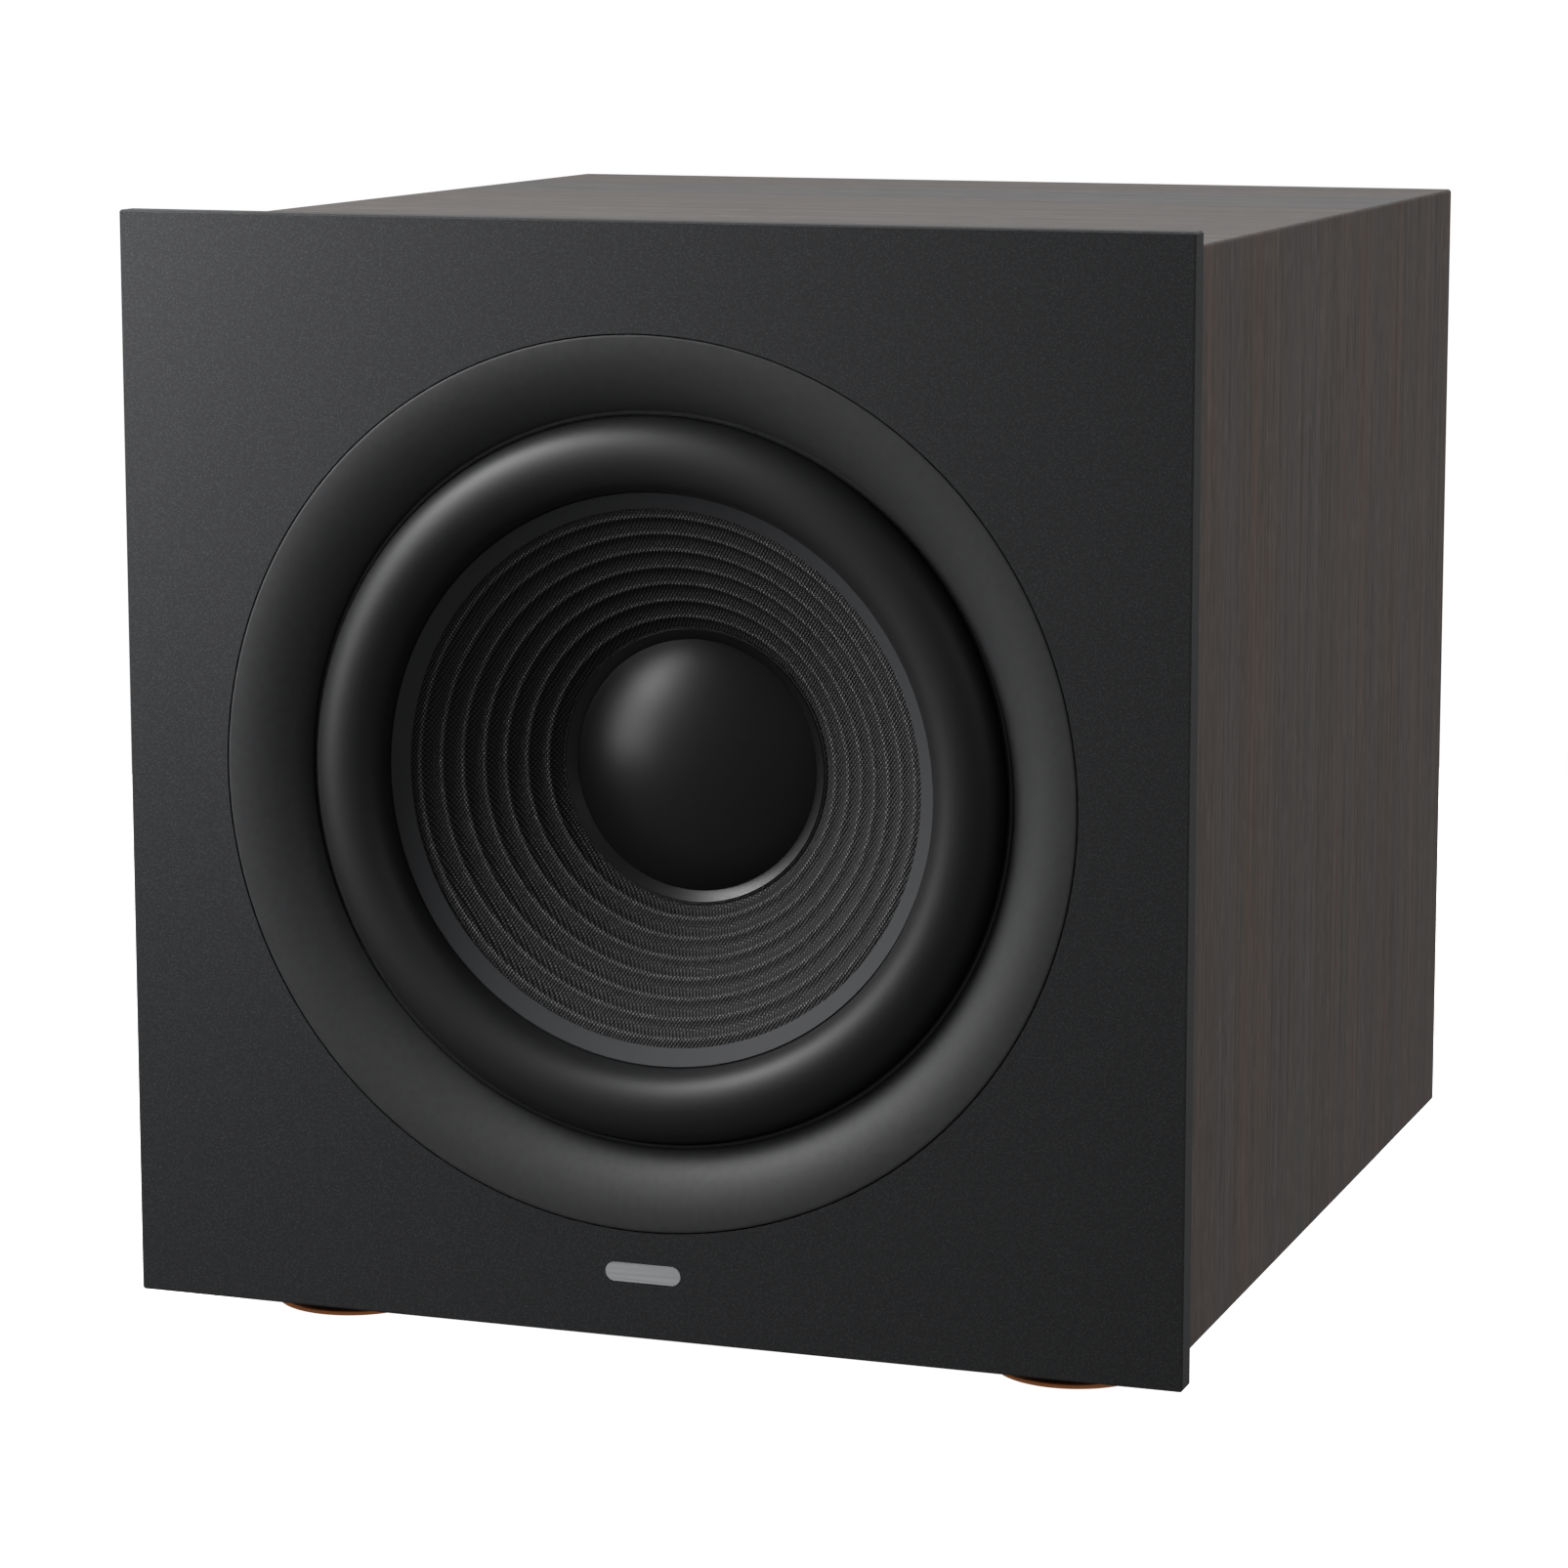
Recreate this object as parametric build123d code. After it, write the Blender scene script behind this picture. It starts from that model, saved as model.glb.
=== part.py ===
from build123d import *
import os
from math import atan2, cos, pi, radians, sin, sqrt, tan

# Powered subwoofer: a square cabinet with one woofer at the front, a flared port and a plate
# amplifier at the back. Millimetres. X is to the right seen from the front, -Y is the front,
# +Z is up. The origin is on the floor, under the middle of the overall width and depth.

# ---- Cabinet ----
BAFFLE_SIDE = 345.0  # the square front plate
PLATE_THICKNESS = 9.0
PLATE_CHAMFER = 0.6
PLATE_OVERHANG = 5.0  # how far the front plate stands past the cabinet, all round
CABINET_DEPTH = 370.0  # face of the front plate to the back of the cabinet
PANEL_THICKNESS = 15.0
PANEL_CORNER_RADIUS = 1.2
BAFFLE_BOARD_THICKNESS = 18.0
REAR_PANEL_THICKNESS = 15.0
BRACE_THICKNESS = 15.0
BRACE_RAIL = 45.0  # width of the brace's frame
BRACE_CORNER_RADIUS = 30.0
BRACE_GAP = 12.0  # behind the magnet
BADGE_WIDTH = 24.8
BADGE_HEIGHT = 6.0
BADGE_THICKNESS = 1.0
BADGE_RISE = 20.8  # middle of the badge above the lower edge of the plate
BADGE_GAP = 0.1

# ---- Feet ----
FLOOR_GAP = 18.0  # floor to the underside of the cabinet
FOOT_RADIUS = 23.0
FOOT_RING_RADIUS = 25.4
FOOT_RING_THICKNESS = 1.8
FOOT_RING_EDGE = 0.4
FOOT_PAD_RADIUS = 20.0
FOOT_PAD_PROUD = 1.0  # how far the pad stands below the ring
FOOT_PAD_GAP = 0.2
FOOT_INSET_SIDE = 49.5  # foot axis in from the edge of the front plate
FOOT_INSET_FRONT = 55.0  # foot axis behind the face of the front plate
FOOT_INSET_BACK = 45.0

# ---- Woofer, from the cone outwards. Depths are behind the face of the front plate ----
CONE_RIM_RADIUS = 84.1
CONE_RIM_DEPTH = 18.3
CONE_ANGLE = 34.4  # degrees between the cone and the plane of its rim
CONE_WALL = 1.2
CONE_UNDERLAP = 4.9  # the cone's edge under the lip of the surround
LIP_WIDTH = 5.6
LIP_WALL = 0.8
ROLL_WIDTH = 23.3
ROLL_HEIGHT = 11.5
RUBBER_WALL = 1.0
STEP_GAP = 0.3
STEP_SHOW = 1.4
STEP_THICKNESS = 2.0
LANDING_WIDTH = 7.5
TRIM_RING_WIDTH = 23.65
TRIM_RING_FALL = 12.0
TRIM_RING_GAP = 0.4
TRIM_RING_LEDGE = 5.35
FLANGE_REACH = 16.3  # basket flange beyond the mouth of the trim ring
FLANGE_THICKNESS = 3.0
GASKET_THICKNESS = 2.0
SKIRT_HEIGHT = 10.0
BASKET_WALL = 3.0
BASKET_ARMS = 6
BASKET_ARM_ANGLE = 20.0
CUTOUT_GAP = 1.5
CAP_RADIUS = 39.8
CAP_HEIGHT = 12.0
CAP_WALL = 0.8
CAP_RING_WIDTH = 3.8
CAP_RING_THICKNESS = 0.7
FORMER_RADIUS = 26.0
FORMER_WALL = 0.6
FORMER_END_DEPTH = 100.0
WINDING_WALL = 1.2
WINDING_LENGTH = 24.0
WINDING_TAIL = 2.0  # bare former behind the winding
CONE_TRAVEL = 10.0
SPIDER_DEPTH = 65.0
SPIDER_WALL = 1.0
SPIDER_RADIUS = 65.0
SPIDER_LANDING = 8.0
SPIDER_INNER_FLAT = 4.0
SPIDER_HALF_WAVES = 6
SPIDER_WAVE_HEIGHT = 2.2
TOP_PLATE_DEPTH = 82.0
TOP_PLATE_RADIUS = 60.0
TOP_PLATE_THICKNESS = 8.0
MAGNET_RADIUS = 70.0
MAGNET_THICKNESS = 15.0
MAGNET_COUNT = 2
MAGNET_EDGE = 1.5
YOKE_RADIUS = 64.0
YOKE_THICKNESS = 8.0
POLE_GAP = 0.8
COIL_GAP = 1.0
VENT_RADIUS = 9.0
TERMINAL_WIDTH = 30.0
TERMINAL_DEPTH = 12.0
TERMINAL_THICKNESS = 2.0
LUG_SPACING = 18.0
LUG_SIZE = 5.0
LEAD_RADIUS = 1.8

# ---- Port ----
PORT_RADIUS = 35.0
PORT_WALL = 2.5
PORT_END_GAP = 28.5  # mouth of the inner flare behind the brace
PORT_MOUTH_ARC = 20.0
PORT_INNER_ARC = 14.0
PORT_FLANGE_WIDTH = 9.0
PORT_FLANGE_THICKNESS = 2.5
PORT_SLEEVE_LENGTH = 22.0
PORT_SLEEVE_WALL = 2.9
PORT_EDGE_MARGIN = 9.0  # port flange to the inside of the top panel

# ---- Plate amplifier ----
AMP_WIDTH = 240.0
AMP_HEIGHT = 150.0
AMP_CORNER_RADIUS = 5.0
AMP_THICKNESS = 3.0
AMP_GASKET = 1.5
AMP_MARGIN = 10.0  # amplifier plate above the inside of the bottom panel
AMP_SIDE_RIM = 20.0
AMP_TOP_RIM = 13.0
ENCLOSURE_GAP = 2.0
ENCLOSURE_DEPTH = 80.0
ENCLOSURE_WALL = 2.0
BOARD_MARGIN = 5.0
BOARD_STANDOFF = 36.0
BOARD_THICKNESS = 1.6
STANDOFF_RADIUS = 3.0
KNOB_RADIUS = 10.0
KNOB_LENGTH = 13.0
KNOB_GAP = 3.5
KNOB_RIBS = 20
SHAFT_RADIUS = 3.0
SHAFT_RUNNING_GAP = 0.05
SHAFT_IN_KNOB = 9.0
POT_RADIUS = 8.5
POT_LENGTH = 9.0
BUSH_RADIUS = 4.5
BUSH_NUT = 2.0
SWITCH_WIDTH = 20.0
SWITCH_HEIGHT = 10.0
SWITCH_LENGTH = 8.0
LEVER_WIDTH = 5.0
LEVER_HEIGHT = 4.0
LEVER_TRAVEL = 4.0
LEVER_PROUD = 3.0
SLIDING_GAP = 0.2
ROCKER_WIDTH = 10.0
ROCKER_HEIGHT = 15.0
ROCKER_THICKNESS = 6.0
ROCKER_TILT = 10.0  # degrees each side of level
ROCKER_PIVOT_RADIUS = 1.5
ROCKER_WALL = 1.6
ROCKER_END_GAP = 0.6
ROCKER_PROUD = 1.0
ROCKER_BODY_LENGTH = 14.0
BEZEL_WIDTH = 2.0
BEZEL_THICKNESS = 2.0
SOCKET_WIDTH = 24.2
SOCKET_HEIGHT = 16.4
SOCKET_LENGTH = 16.0
SOCKET_WALL = 2.0
INLET_FLANGE_WIDTH = 48.0
INLET_FLANGE_HEIGHT = 36.0
INLET_FLANGE_THICKNESS = 2.5
INLET_SCREW_SPACING = 40.0
INLET_SCREW_HOLE = 1.7
INLET_PIN_WIDTH = 2.0
INLET_PIN_HEIGHT = 4.0
INLET_PIN_LENGTH = 13.0
INLET_PIN_SPACING = 7.0
DRAWER_WIDTH = 20.0
DRAWER_HEIGHT = 6.0
DRAWER_LENGTH = 14.0
DRAWER_TRAVEL = 12.0
JACK_RADIUS = 4.15
JACK_BORE = 3.3
JACK_LENGTH = 9.0
JACK_FLANGE_RADIUS = 6.5
JACK_FLANGE_THICKNESS = 1.5
JACK_CONTACT_RADIUS = 1.6
JACK_TAIL = 4.0
LED_RADIUS = 1.5
SINK_WIDTH = 104.0
SINK_HEIGHT = 44.0
SINK_BASE = 3.0
SINK_FIN = 1.6
SINK_FINS = 11
SINK_FIN_LENGTH = 11.0

# ---- Screws ----
HEAD_RADIUS = 4.2
HEAD_THICKNESS = 2.6
SHANK_RADIUS = 2.2
SHANK_GAP = 0.1
PASSING_GAP = 0.3
WOOFER_SCREWS = 8
WOOFER_SCREW_LENGTH = 17.0
WOOFER_SCREW_INSET = 5.0
PORT_SCREWS = 4
PORT_SCREW_LENGTH = 14.0
AMP_SCREW_LENGTH = 16.0
FOOT_SCREW_LENGTH = 22.0
FOOT_SCREW_RECESS = 6.0

# ---- Worked out from the sizes above ----
CABINET_SIDE = BAFFLE_SIDE - 2 * PLATE_OVERHANG
INNER_SIDE = CABINET_SIDE - 2 * PANEL_THICKNESS
REAR_PROUD = AMP_GASKET + AMP_THICKNESS + KNOB_GAP + KNOB_LENGTH
FRONT_Y = -(CABINET_DEPTH + REAR_PROUD) / 2
BACK_Y = FRONT_Y + CABINET_DEPTH
CENTRE_Z = FLOOR_GAP + CABINET_SIDE / 2
INSIDE_BOTTOM_Z = FLOOR_GAP + PANEL_THICKNESS
INSIDE_TOP_Z = INSIDE_BOTTOM_Z + INNER_SIDE

ROLL_INNER_RADIUS = CONE_RIM_RADIUS + LIP_WIDTH
ROLL_OUTER_RADIUS = ROLL_INNER_RADIUS + ROLL_WIDTH
ROLL_MIDDLE_RADIUS = (ROLL_INNER_RADIUS + ROLL_OUTER_RADIUS) / 2
STEP_RADIUS = ROLL_OUTER_RADIUS + STEP_GAP
MOUTH_RADIUS = STEP_RADIUS + STEP_SHOW
TRIM_RING_RADIUS = MOUTH_RADIUS + TRIM_RING_WIDTH
LANDING_RADIUS = ROLL_OUTER_RADIUS + LANDING_WIDTH
FLANGE_RADIUS = MOUTH_RADIUS + FLANGE_REACH
LANDING_DEPTH = TRIM_RING_FALL + STEP_THICKNESS
FLANGE_DEPTH = LANDING_DEPTH + RUBBER_WALL
RECESS_DEPTH = FLANGE_DEPTH + FLANGE_THICKNESS + GASKET_THICKNESS
SKIRT_RADIUS = ROLL_OUTER_RADIUS + 4.0
CUTOUT_RADIUS = SKIRT_RADIUS + CUTOUT_GAP
WOOFER_SCREW_CIRCLE = FLANGE_RADIUS - WOOFER_SCREW_INSET
TOP_PLATE_BORE = FORMER_RADIUS + WINDING_WALL + COIL_GAP
MAGNET_BORE = TOP_PLATE_BORE + 4.0
MAGNET_DEPTH = TOP_PLATE_DEPTH + TOP_PLATE_THICKNESS
YOKE_DEPTH = MAGNET_DEPTH + MAGNET_COUNT * MAGNET_THICKNESS
WOOFER_END_DEPTH = YOKE_DEPTH + YOKE_THICKNESS
BRACE_DEPTH = WOOFER_END_DEPTH + BRACE_GAP

BADGE_Z = CENTRE_Z - BAFFLE_SIDE / 2 + BADGE_RISE
RING_TOP_Z = FOOT_PAD_PROUD + FOOT_RING_THICKNESS
FOOT_HEAD_Z = RING_TOP_Z + FOOT_SCREW_RECESS  # where the screw head meets the foot
SHELF_DEPTH = SPIDER_DEPTH + SPIDER_WALL
NECK_RADIUS = SPIDER_RADIUS + 1.0  # outside of the basket's neck
TERMINAL_Z = CENTRE_Z + NECK_RADIUS + TERMINAL_THICKNESS
LUG_Z = TERMINAL_Z + TERMINAL_THICKNESS + LUG_SIZE / 2

PORT_FLANGE_RADIUS = PORT_RADIUS + PORT_MOUTH_ARC + PORT_FLANGE_WIDTH
PORT_Z = INSIDE_TOP_Z - PORT_EDGE_MARGIN - PORT_FLANGE_RADIUS
PORT_ARC_INSET = PORT_MOUTH_ARC - PORT_FLANGE_THICKNESS  # flare's arc ends in front of the back
PORT_LENGTH = CABINET_DEPTH - BRACE_DEPTH - BRACE_THICKNESS - PORT_END_GAP  # inside the cabinet
PORT_TUBE_LENGTH = PORT_LENGTH - PORT_ARC_INSET - PORT_INNER_ARC - 2 * PORT_WALL

AMP_Z = INSIDE_BOTTOM_Z + AMP_MARGIN + AMP_HEIGHT / 2
AMP_INNER_Y = BACK_Y + AMP_GASKET
AMP_OUTER_Y = AMP_INNER_Y + AMP_THICKNESS
AMP_CUT_WIDTH = AMP_WIDTH - 2 * AMP_SIDE_RIM
AMP_CUT_HEIGHT = AMP_HEIGHT - 2 * AMP_TOP_RIM
ENCLOSURE_WIDTH = AMP_CUT_WIDTH - 2 * ENCLOSURE_GAP
ENCLOSURE_HEIGHT = AMP_CUT_HEIGHT - 2 * ENCLOSURE_GAP
BOARD_WIDTH = ENCLOSURE_WIDTH - 2 * (ENCLOSURE_WALL + BOARD_MARGIN)
BOARD_HEIGHT = ENCLOSURE_HEIGHT - 2 * (ENCLOSURE_WALL + BOARD_MARGIN)
BOARD_Y = AMP_INNER_Y - BOARD_STANDOFF  # the board's face towards the plate
ROCKER_BODY_WIDTH = ROCKER_WIDTH + 2 * (ROCKER_WALL + SLIDING_GAP)
ROCKER_BODY_HEIGHT = ROCKER_HEIGHT + 2 * (ROCKER_WALL + ROCKER_END_GAP)
ROCKER_PIVOT_Y = AMP_OUTER_Y + BEZEL_THICKNESS - ROCKER_THICKNESS / 2 + ROCKER_PROUD
INLET_BODY_WIDTH = SOCKET_WIDTH + 2 * SOCKET_WALL
INLET_BODY_HEIGHT = SOCKET_HEIGHT + DRAWER_HEIGHT + 2 * SLIDING_GAP + 3 * SOCKET_WALL
SOCKET_RISE = INLET_BODY_HEIGHT / 2 - SOCKET_WALL - SOCKET_HEIGHT / 2
DRAWER_RISE = SOCKET_WALL + SLIDING_GAP + DRAWER_HEIGHT / 2 - INLET_BODY_HEIGHT / 2

# Places on the amplifier plate, (across, up) from its middle.
GAIN_PLACE = (-72.0, 36.0)
CROSSOVER_PLACE = (-34.0, 36.0)
PHASE_PLACE = (-72.0, 4.0)
MODE_PLACE = (-34.0, 4.0)
JACK_PLACES = [(-72.0, -34.0), (-53.0, -34.0), (-34.0, -34.0)]
LED_PLACE = (-53.0, 52.0)
SINK_PLACE = (45.0, 40.0)
ROCKER_PLACE = (12.0, -28.0)
INLET_PLACE = (62.0, -28.0)


# ---- Shapes ----
def turned(outline, y, x=0.0, z=CENTRE_Z):
    """Turn an outline of (radius, distance behind y) about the line along Y through x and z."""
    return Pos(x, y, z) * revolve(make_face(outline), Axis.Y)


def turned_up(outline, x, y):
    """Turn an outline of (radius, height) about the upright line through x and y."""
    return Pos(x, y, 0) * revolve(make_face([Rot(90, 0, 0) * edge for edge in outline]), Axis.Z)


def lines(*points):
    """Straight edges through the points and back to the first."""
    return Polyline(*points, close=True).edges()


def path(*points):
    """Straight edges through the points."""
    return list(Polyline(*points).edges())


def prism(sketch, y_front, y_back, x=0.0, z=0.0):
    """Push a sketch of (across, up) from y_front to y_back."""
    return Pos(x, y_back, z) * Rot(90, 0, 0) * extrude(sketch, y_back - y_front)


def rod(radius, y_front, y_back, x=0.0, z=0.0):
    """A round bar along Y."""
    return prism(Circle(radius), y_front, y_back, x, z)


def block(width, height, y_front, y_back, x=0.0, z=0.0):
    """A box along Y, centred on x and z."""
    return prism(Rectangle(width, height), y_front, y_back, x, z)


def depth(value):
    """The place along Y of a depth behind the face of the front plate."""
    return FRONT_Y + value


def around(count, radius, first=0.0):
    """Places evenly round a circle, as (across, up)."""
    step = 360.0 / count
    turns = [radians(first + step * i) for i in range(count)]
    return [(radius * cos(turn), radius * sin(turn)) for turn in turns]


def on_plate(place):
    """A place on the amplifier plate as (x, z)."""
    return place[0], AMP_Z + place[1]


def screw(length, facing_back=False):
    """A pan-head screw along Y with a hexagonal drive, its head in front of the origin."""
    outline = path((0, -HEAD_THICKNESS), (HEAD_RADIUS - 1, -HEAD_THICKNESS))
    outline += [ThreePointArc((HEAD_RADIUS - 1, -HEAD_THICKNESS),
                              (HEAD_RADIUS - 0.3, -HEAD_THICKNESS + 0.3),
                              (HEAD_RADIUS, -HEAD_THICKNESS + 1))]
    outline += path((HEAD_RADIUS, -HEAD_THICKNESS + 1), (HEAD_RADIUS, 0), (SHANK_RADIUS, 0),
                    (SHANK_RADIUS, length - SHANK_RADIUS), (0.4, length), (0, length),
                    (0, -HEAD_THICKNESS))
    body = turned(outline, 0.0, 0.0, 0.0)
    drive = prism(RegularPolygon(HEAD_RADIUS / 2, 6), -HEAD_THICKNESS, -HEAD_THICKNESS / 2)
    made = body - drive
    return Rot(0, 0, 180) * made if facing_back else made


def together(pieces):
    """Separate solids kept in one node."""
    return Compound(children=[solid for piece in pieces for solid in piece.solids()])


# ---- Cabinet ----
def front_plate():
    """The square plate with its round opening and the shallow pocket of the badge."""
    plate = block(BAFFLE_SIDE, BAFFLE_SIDE, depth(0), depth(PLATE_THICKNESS), z=CENTRE_Z)
    plate = chamfer(plate.edges(), PLATE_CHAMFER)
    plate -= rod(TRIM_RING_RADIUS + TRIM_RING_GAP, depth(-1), depth(PLATE_THICKNESS + 1), z=CENTRE_Z)
    pocket = RectangleRounded(BADGE_WIDTH + 2 * BADGE_GAP, BADGE_HEIGHT + 2 * BADGE_GAP,
                              BADGE_HEIGHT / 2 + BADGE_GAP - 0.01)
    return plate - prism(pocket, depth(-1), depth(BADGE_THICKNESS), z=BADGE_Z)


def badge():
    """A plain blank plate with round ends, flush with the front plate."""
    shape = RectangleRounded(BADGE_WIDTH, BADGE_HEIGHT, BADGE_HEIGHT / 2 - 0.01)
    return prism(shape, depth(0), depth(BADGE_THICKNESS), z=BADGE_Z)


def wrapped_panels():
    """Top, left, bottom and right panels, mitred at the corners."""
    shell = (RectangleRounded(CABINET_SIDE, CABINET_SIDE, PANEL_CORNER_RADIUS)
             - Rectangle(INNER_SIDE, INNER_SIDE))
    reach = CABINET_SIDE
    wedge = make_face(lines((0, 0), (reach, reach), (-reach, reach)))
    made = {}
    for turn, name in enumerate(("panel_top", "panel_left", "panel_bottom", "panel_right")):
        section = shell & (Rot(0, 0, 90 * turn) * wedge)
        made[name] = prism(section, depth(PLATE_THICKNESS), BACK_Y, z=CENTRE_Z)
    for x, y in foot_places():
        hole = Pos(x, y, FLOOR_GAP) * Cylinder(SHANK_RADIUS + SHANK_GAP, 2 * PANEL_THICKNESS - 2)
        made["panel_bottom"] -= hole
    return made


def inner_baffle():
    """The board behind the front plate, with a rebate for the woofer's flange."""
    board = block(INNER_SIDE, INNER_SIDE, depth(PLATE_THICKNESS),
                  depth(PLATE_THICKNESS + BAFFLE_BOARD_THICKNESS), z=CENTRE_Z)
    back = depth(PLATE_THICKNESS + BAFFLE_BOARD_THICKNESS + 1)
    board -= rod(CUTOUT_RADIUS, depth(0), back, z=CENTRE_Z)
    board -= rod(FLANGE_RADIUS + 1, depth(0), depth(RECESS_DEPTH), z=CENTRE_Z)
    for across, up in woofer_screw_places():
        board -= rod(SHANK_RADIUS + SHANK_GAP, depth(0), back, across, CENTRE_Z + up)
    return board


def window_brace():
    """The frame that ties the four wrapped panels behind the magnet."""
    window = RectangleRounded(INNER_SIDE - 2 * BRACE_RAIL, INNER_SIDE - 2 * BRACE_RAIL,
                              BRACE_CORNER_RADIUS)
    section = Rectangle(INNER_SIDE, INNER_SIDE) - window
    return prism(section, depth(BRACE_DEPTH), depth(BRACE_DEPTH + BRACE_THICKNESS), z=CENTRE_Z)


def rear_panel():
    """The back board with the port's hole, the amplifier's opening and the screw holes."""
    front = BACK_Y - REAR_PANEL_THICKNESS
    board = block(INNER_SIDE, INNER_SIDE, front, BACK_Y, z=CENTRE_Z)
    board -= rod(PORT_RADIUS + PORT_MOUTH_ARC + 1, front - 1, BACK_Y + 1, z=PORT_Z)
    board -= prism(RectangleRounded(AMP_CUT_WIDTH, AMP_CUT_HEIGHT, AMP_CORNER_RADIUS),
                   front - 1, BACK_Y + 1, z=AMP_Z)
    for across, up in port_screw_places():
        board -= rod(SHANK_RADIUS + SHANK_GAP, front - 1, BACK_Y + 1, across, PORT_Z + up)
    for across, up in amp_screw_places():
        board -= rod(SHANK_RADIUS + SHANK_GAP, front - 1, BACK_Y + 1, across, AMP_Z + up)
    return board


# ---- Feet ----
def foot_places():
    """The four foot axes, as (x, y)."""
    across = BAFFLE_SIDE / 2 - FOOT_INSET_SIDE
    rows = (depth(FOOT_INSET_FRONT), BACK_Y - FOOT_INSET_BACK)
    return [(side * across, y) for y in rows for side in (-1, 1)]


def feet():
    """Four feet: a moulded body, a proud ring round its lower edge, a pad and a screw each."""
    parts = {"foot_bodies": [], "foot_rings": [], "foot_pads": [], "foot_screws": []}
    for x, y in foot_places():
        recess = HEAD_RADIUS + 1
        hole = SHANK_RADIUS + SHANK_GAP
        parts["foot_bodies"].append(turned_up(lines(
            (recess, RING_TOP_Z), (FOOT_RADIUS, RING_TOP_Z), (FOOT_RADIUS, FLOOR_GAP),
            (hole, FLOOR_GAP), (hole, FOOT_HEAD_Z), (recess, FOOT_HEAD_Z)), x, y))
        inner = FOOT_PAD_RADIUS + FOOT_PAD_GAP
        outer, low, high, edge = FOOT_RING_RADIUS, FOOT_PAD_PROUD, RING_TOP_Z, FOOT_RING_EDGE
        parts["foot_rings"].append(turned_up(lines(
            (inner, low), (outer - edge, low), (outer, low + edge), (outer, high - edge),
            (outer - edge, high), (inner, high)), x, y))
        parts["foot_pads"].append(turned_up(lines(
            (0, 0), (FOOT_PAD_RADIUS - edge, 0), (FOOT_PAD_RADIUS, edge),
            (FOOT_PAD_RADIUS, RING_TOP_Z), (0, RING_TOP_Z)), x, y))
        parts["foot_screws"].append(
            Pos(x, y, FOOT_HEAD_Z) * Rot(90, 0, 0) * screw(FOOT_SCREW_LENGTH))
    return {name: together(solids) for name, solids in parts.items()}


# ---- Woofer ----
def cone_depth(radius):
    """Depth of the cone's front surface at a radius."""
    return CONE_RIM_DEPTH + (CONE_RIM_RADIUS - radius) * tan(radians(CONE_ANGLE))


def woofer_screw_places():
    return around(WOOFER_SCREWS, WOOFER_SCREW_CIRCLE, 180 / WOOFER_SCREWS)


def trim_ring():
    """The ring let into the plate: flush at its edge, then an arc that rolls in to the mouth."""
    arc_radius = (TRIM_RING_WIDTH**2 + TRIM_RING_FALL**2) / (2 * TRIM_RING_FALL)
    half = TRIM_RING_WIDTH / 2
    halfway = (MOUTH_RADIUS + half, arc_radius - sqrt(arc_radius**2 - half**2))
    ledge = TRIM_RING_RADIUS - TRIM_RING_LEDGE
    outline = [ThreePointArc((TRIM_RING_RADIUS, 0), halfway, (MOUTH_RADIUS, TRIM_RING_FALL))]
    outline += path((MOUTH_RADIUS, TRIM_RING_FALL), (LANDING_RADIUS, TRIM_RING_FALL),
                    (LANDING_RADIUS + 3, PLATE_THICKNESS), (ledge, PLATE_THICKNESS),
                    (TRIM_RING_RADIUS, PLATE_THICKNESS), (TRIM_RING_RADIUS, 0))
    return turned(outline, FRONT_Y)


def step_ring():
    """The thin ring that clamps the surround and shows as a step inside the trim ring."""
    return turned(lines((STEP_RADIUS, TRIM_RING_FALL), (LANDING_RADIUS, TRIM_RING_FALL),
                        (LANDING_RADIUS, LANDING_DEPTH), (STEP_RADIUS, LANDING_DEPTH)), FRONT_Y)


def surround():
    """Half-roll rubber edge: landing, roll and the lip glued on the cone."""
    edge = CONE_RIM_RADIUS + CONE_UNDERLAP
    under = LANDING_DEPTH + RUBBER_WALL
    crest = LANDING_DEPTH - ROLL_HEIGHT
    outline = path((LANDING_RADIUS, LANDING_DEPTH), (ROLL_OUTER_RADIUS, LANDING_DEPTH))
    outline += [ThreePointArc((ROLL_OUTER_RADIUS, LANDING_DEPTH), (ROLL_MIDDLE_RADIUS, crest),
                              (ROLL_INNER_RADIUS, LANDING_DEPTH))]
    outline += path((ROLL_INNER_RADIUS, LANDING_DEPTH),
                    (CONE_RIM_RADIUS, CONE_RIM_DEPTH - LIP_WALL), (CONE_RIM_RADIUS, CONE_RIM_DEPTH),
                    (edge, cone_depth(edge)), (ROLL_INNER_RADIUS + RUBBER_WALL, under))
    outline += [ThreePointArc((ROLL_INNER_RADIUS + RUBBER_WALL, under),
                              (ROLL_MIDDLE_RADIUS, crest + RUBBER_WALL),
                              (ROLL_OUTER_RADIUS - RUBBER_WALL, under))]
    outline += path((ROLL_OUTER_RADIUS - RUBBER_WALL, under), (LANDING_RADIUS, under),
                    (LANDING_RADIUS, LANDING_DEPTH))
    return turned(outline, FRONT_Y)


def cone():
    """The straight-sided cone, from under the surround's lip to the voice coil."""
    edge = CONE_RIM_RADIUS + CONE_UNDERLAP
    return turned(lines((edge, cone_depth(edge)), (FORMER_RADIUS, cone_depth(FORMER_RADIUS)),
                        (FORMER_RADIUS, cone_depth(FORMER_RADIUS) + CONE_WALL),
                        (edge, cone_depth(edge) + CONE_WALL)), FRONT_Y)


def dust_cap_ring():
    """The thin ring on the cone round the dust cap."""
    inner, outer = CAP_RADIUS, CAP_RADIUS + CAP_RING_WIDTH
    return turned(lines((inner, cone_depth(inner)), (outer, cone_depth(outer)),
                        (outer, cone_depth(outer) - CAP_RING_THICKNESS),
                        (inner, cone_depth(inner) - CAP_RING_THICKNESS)), FRONT_Y)


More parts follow.
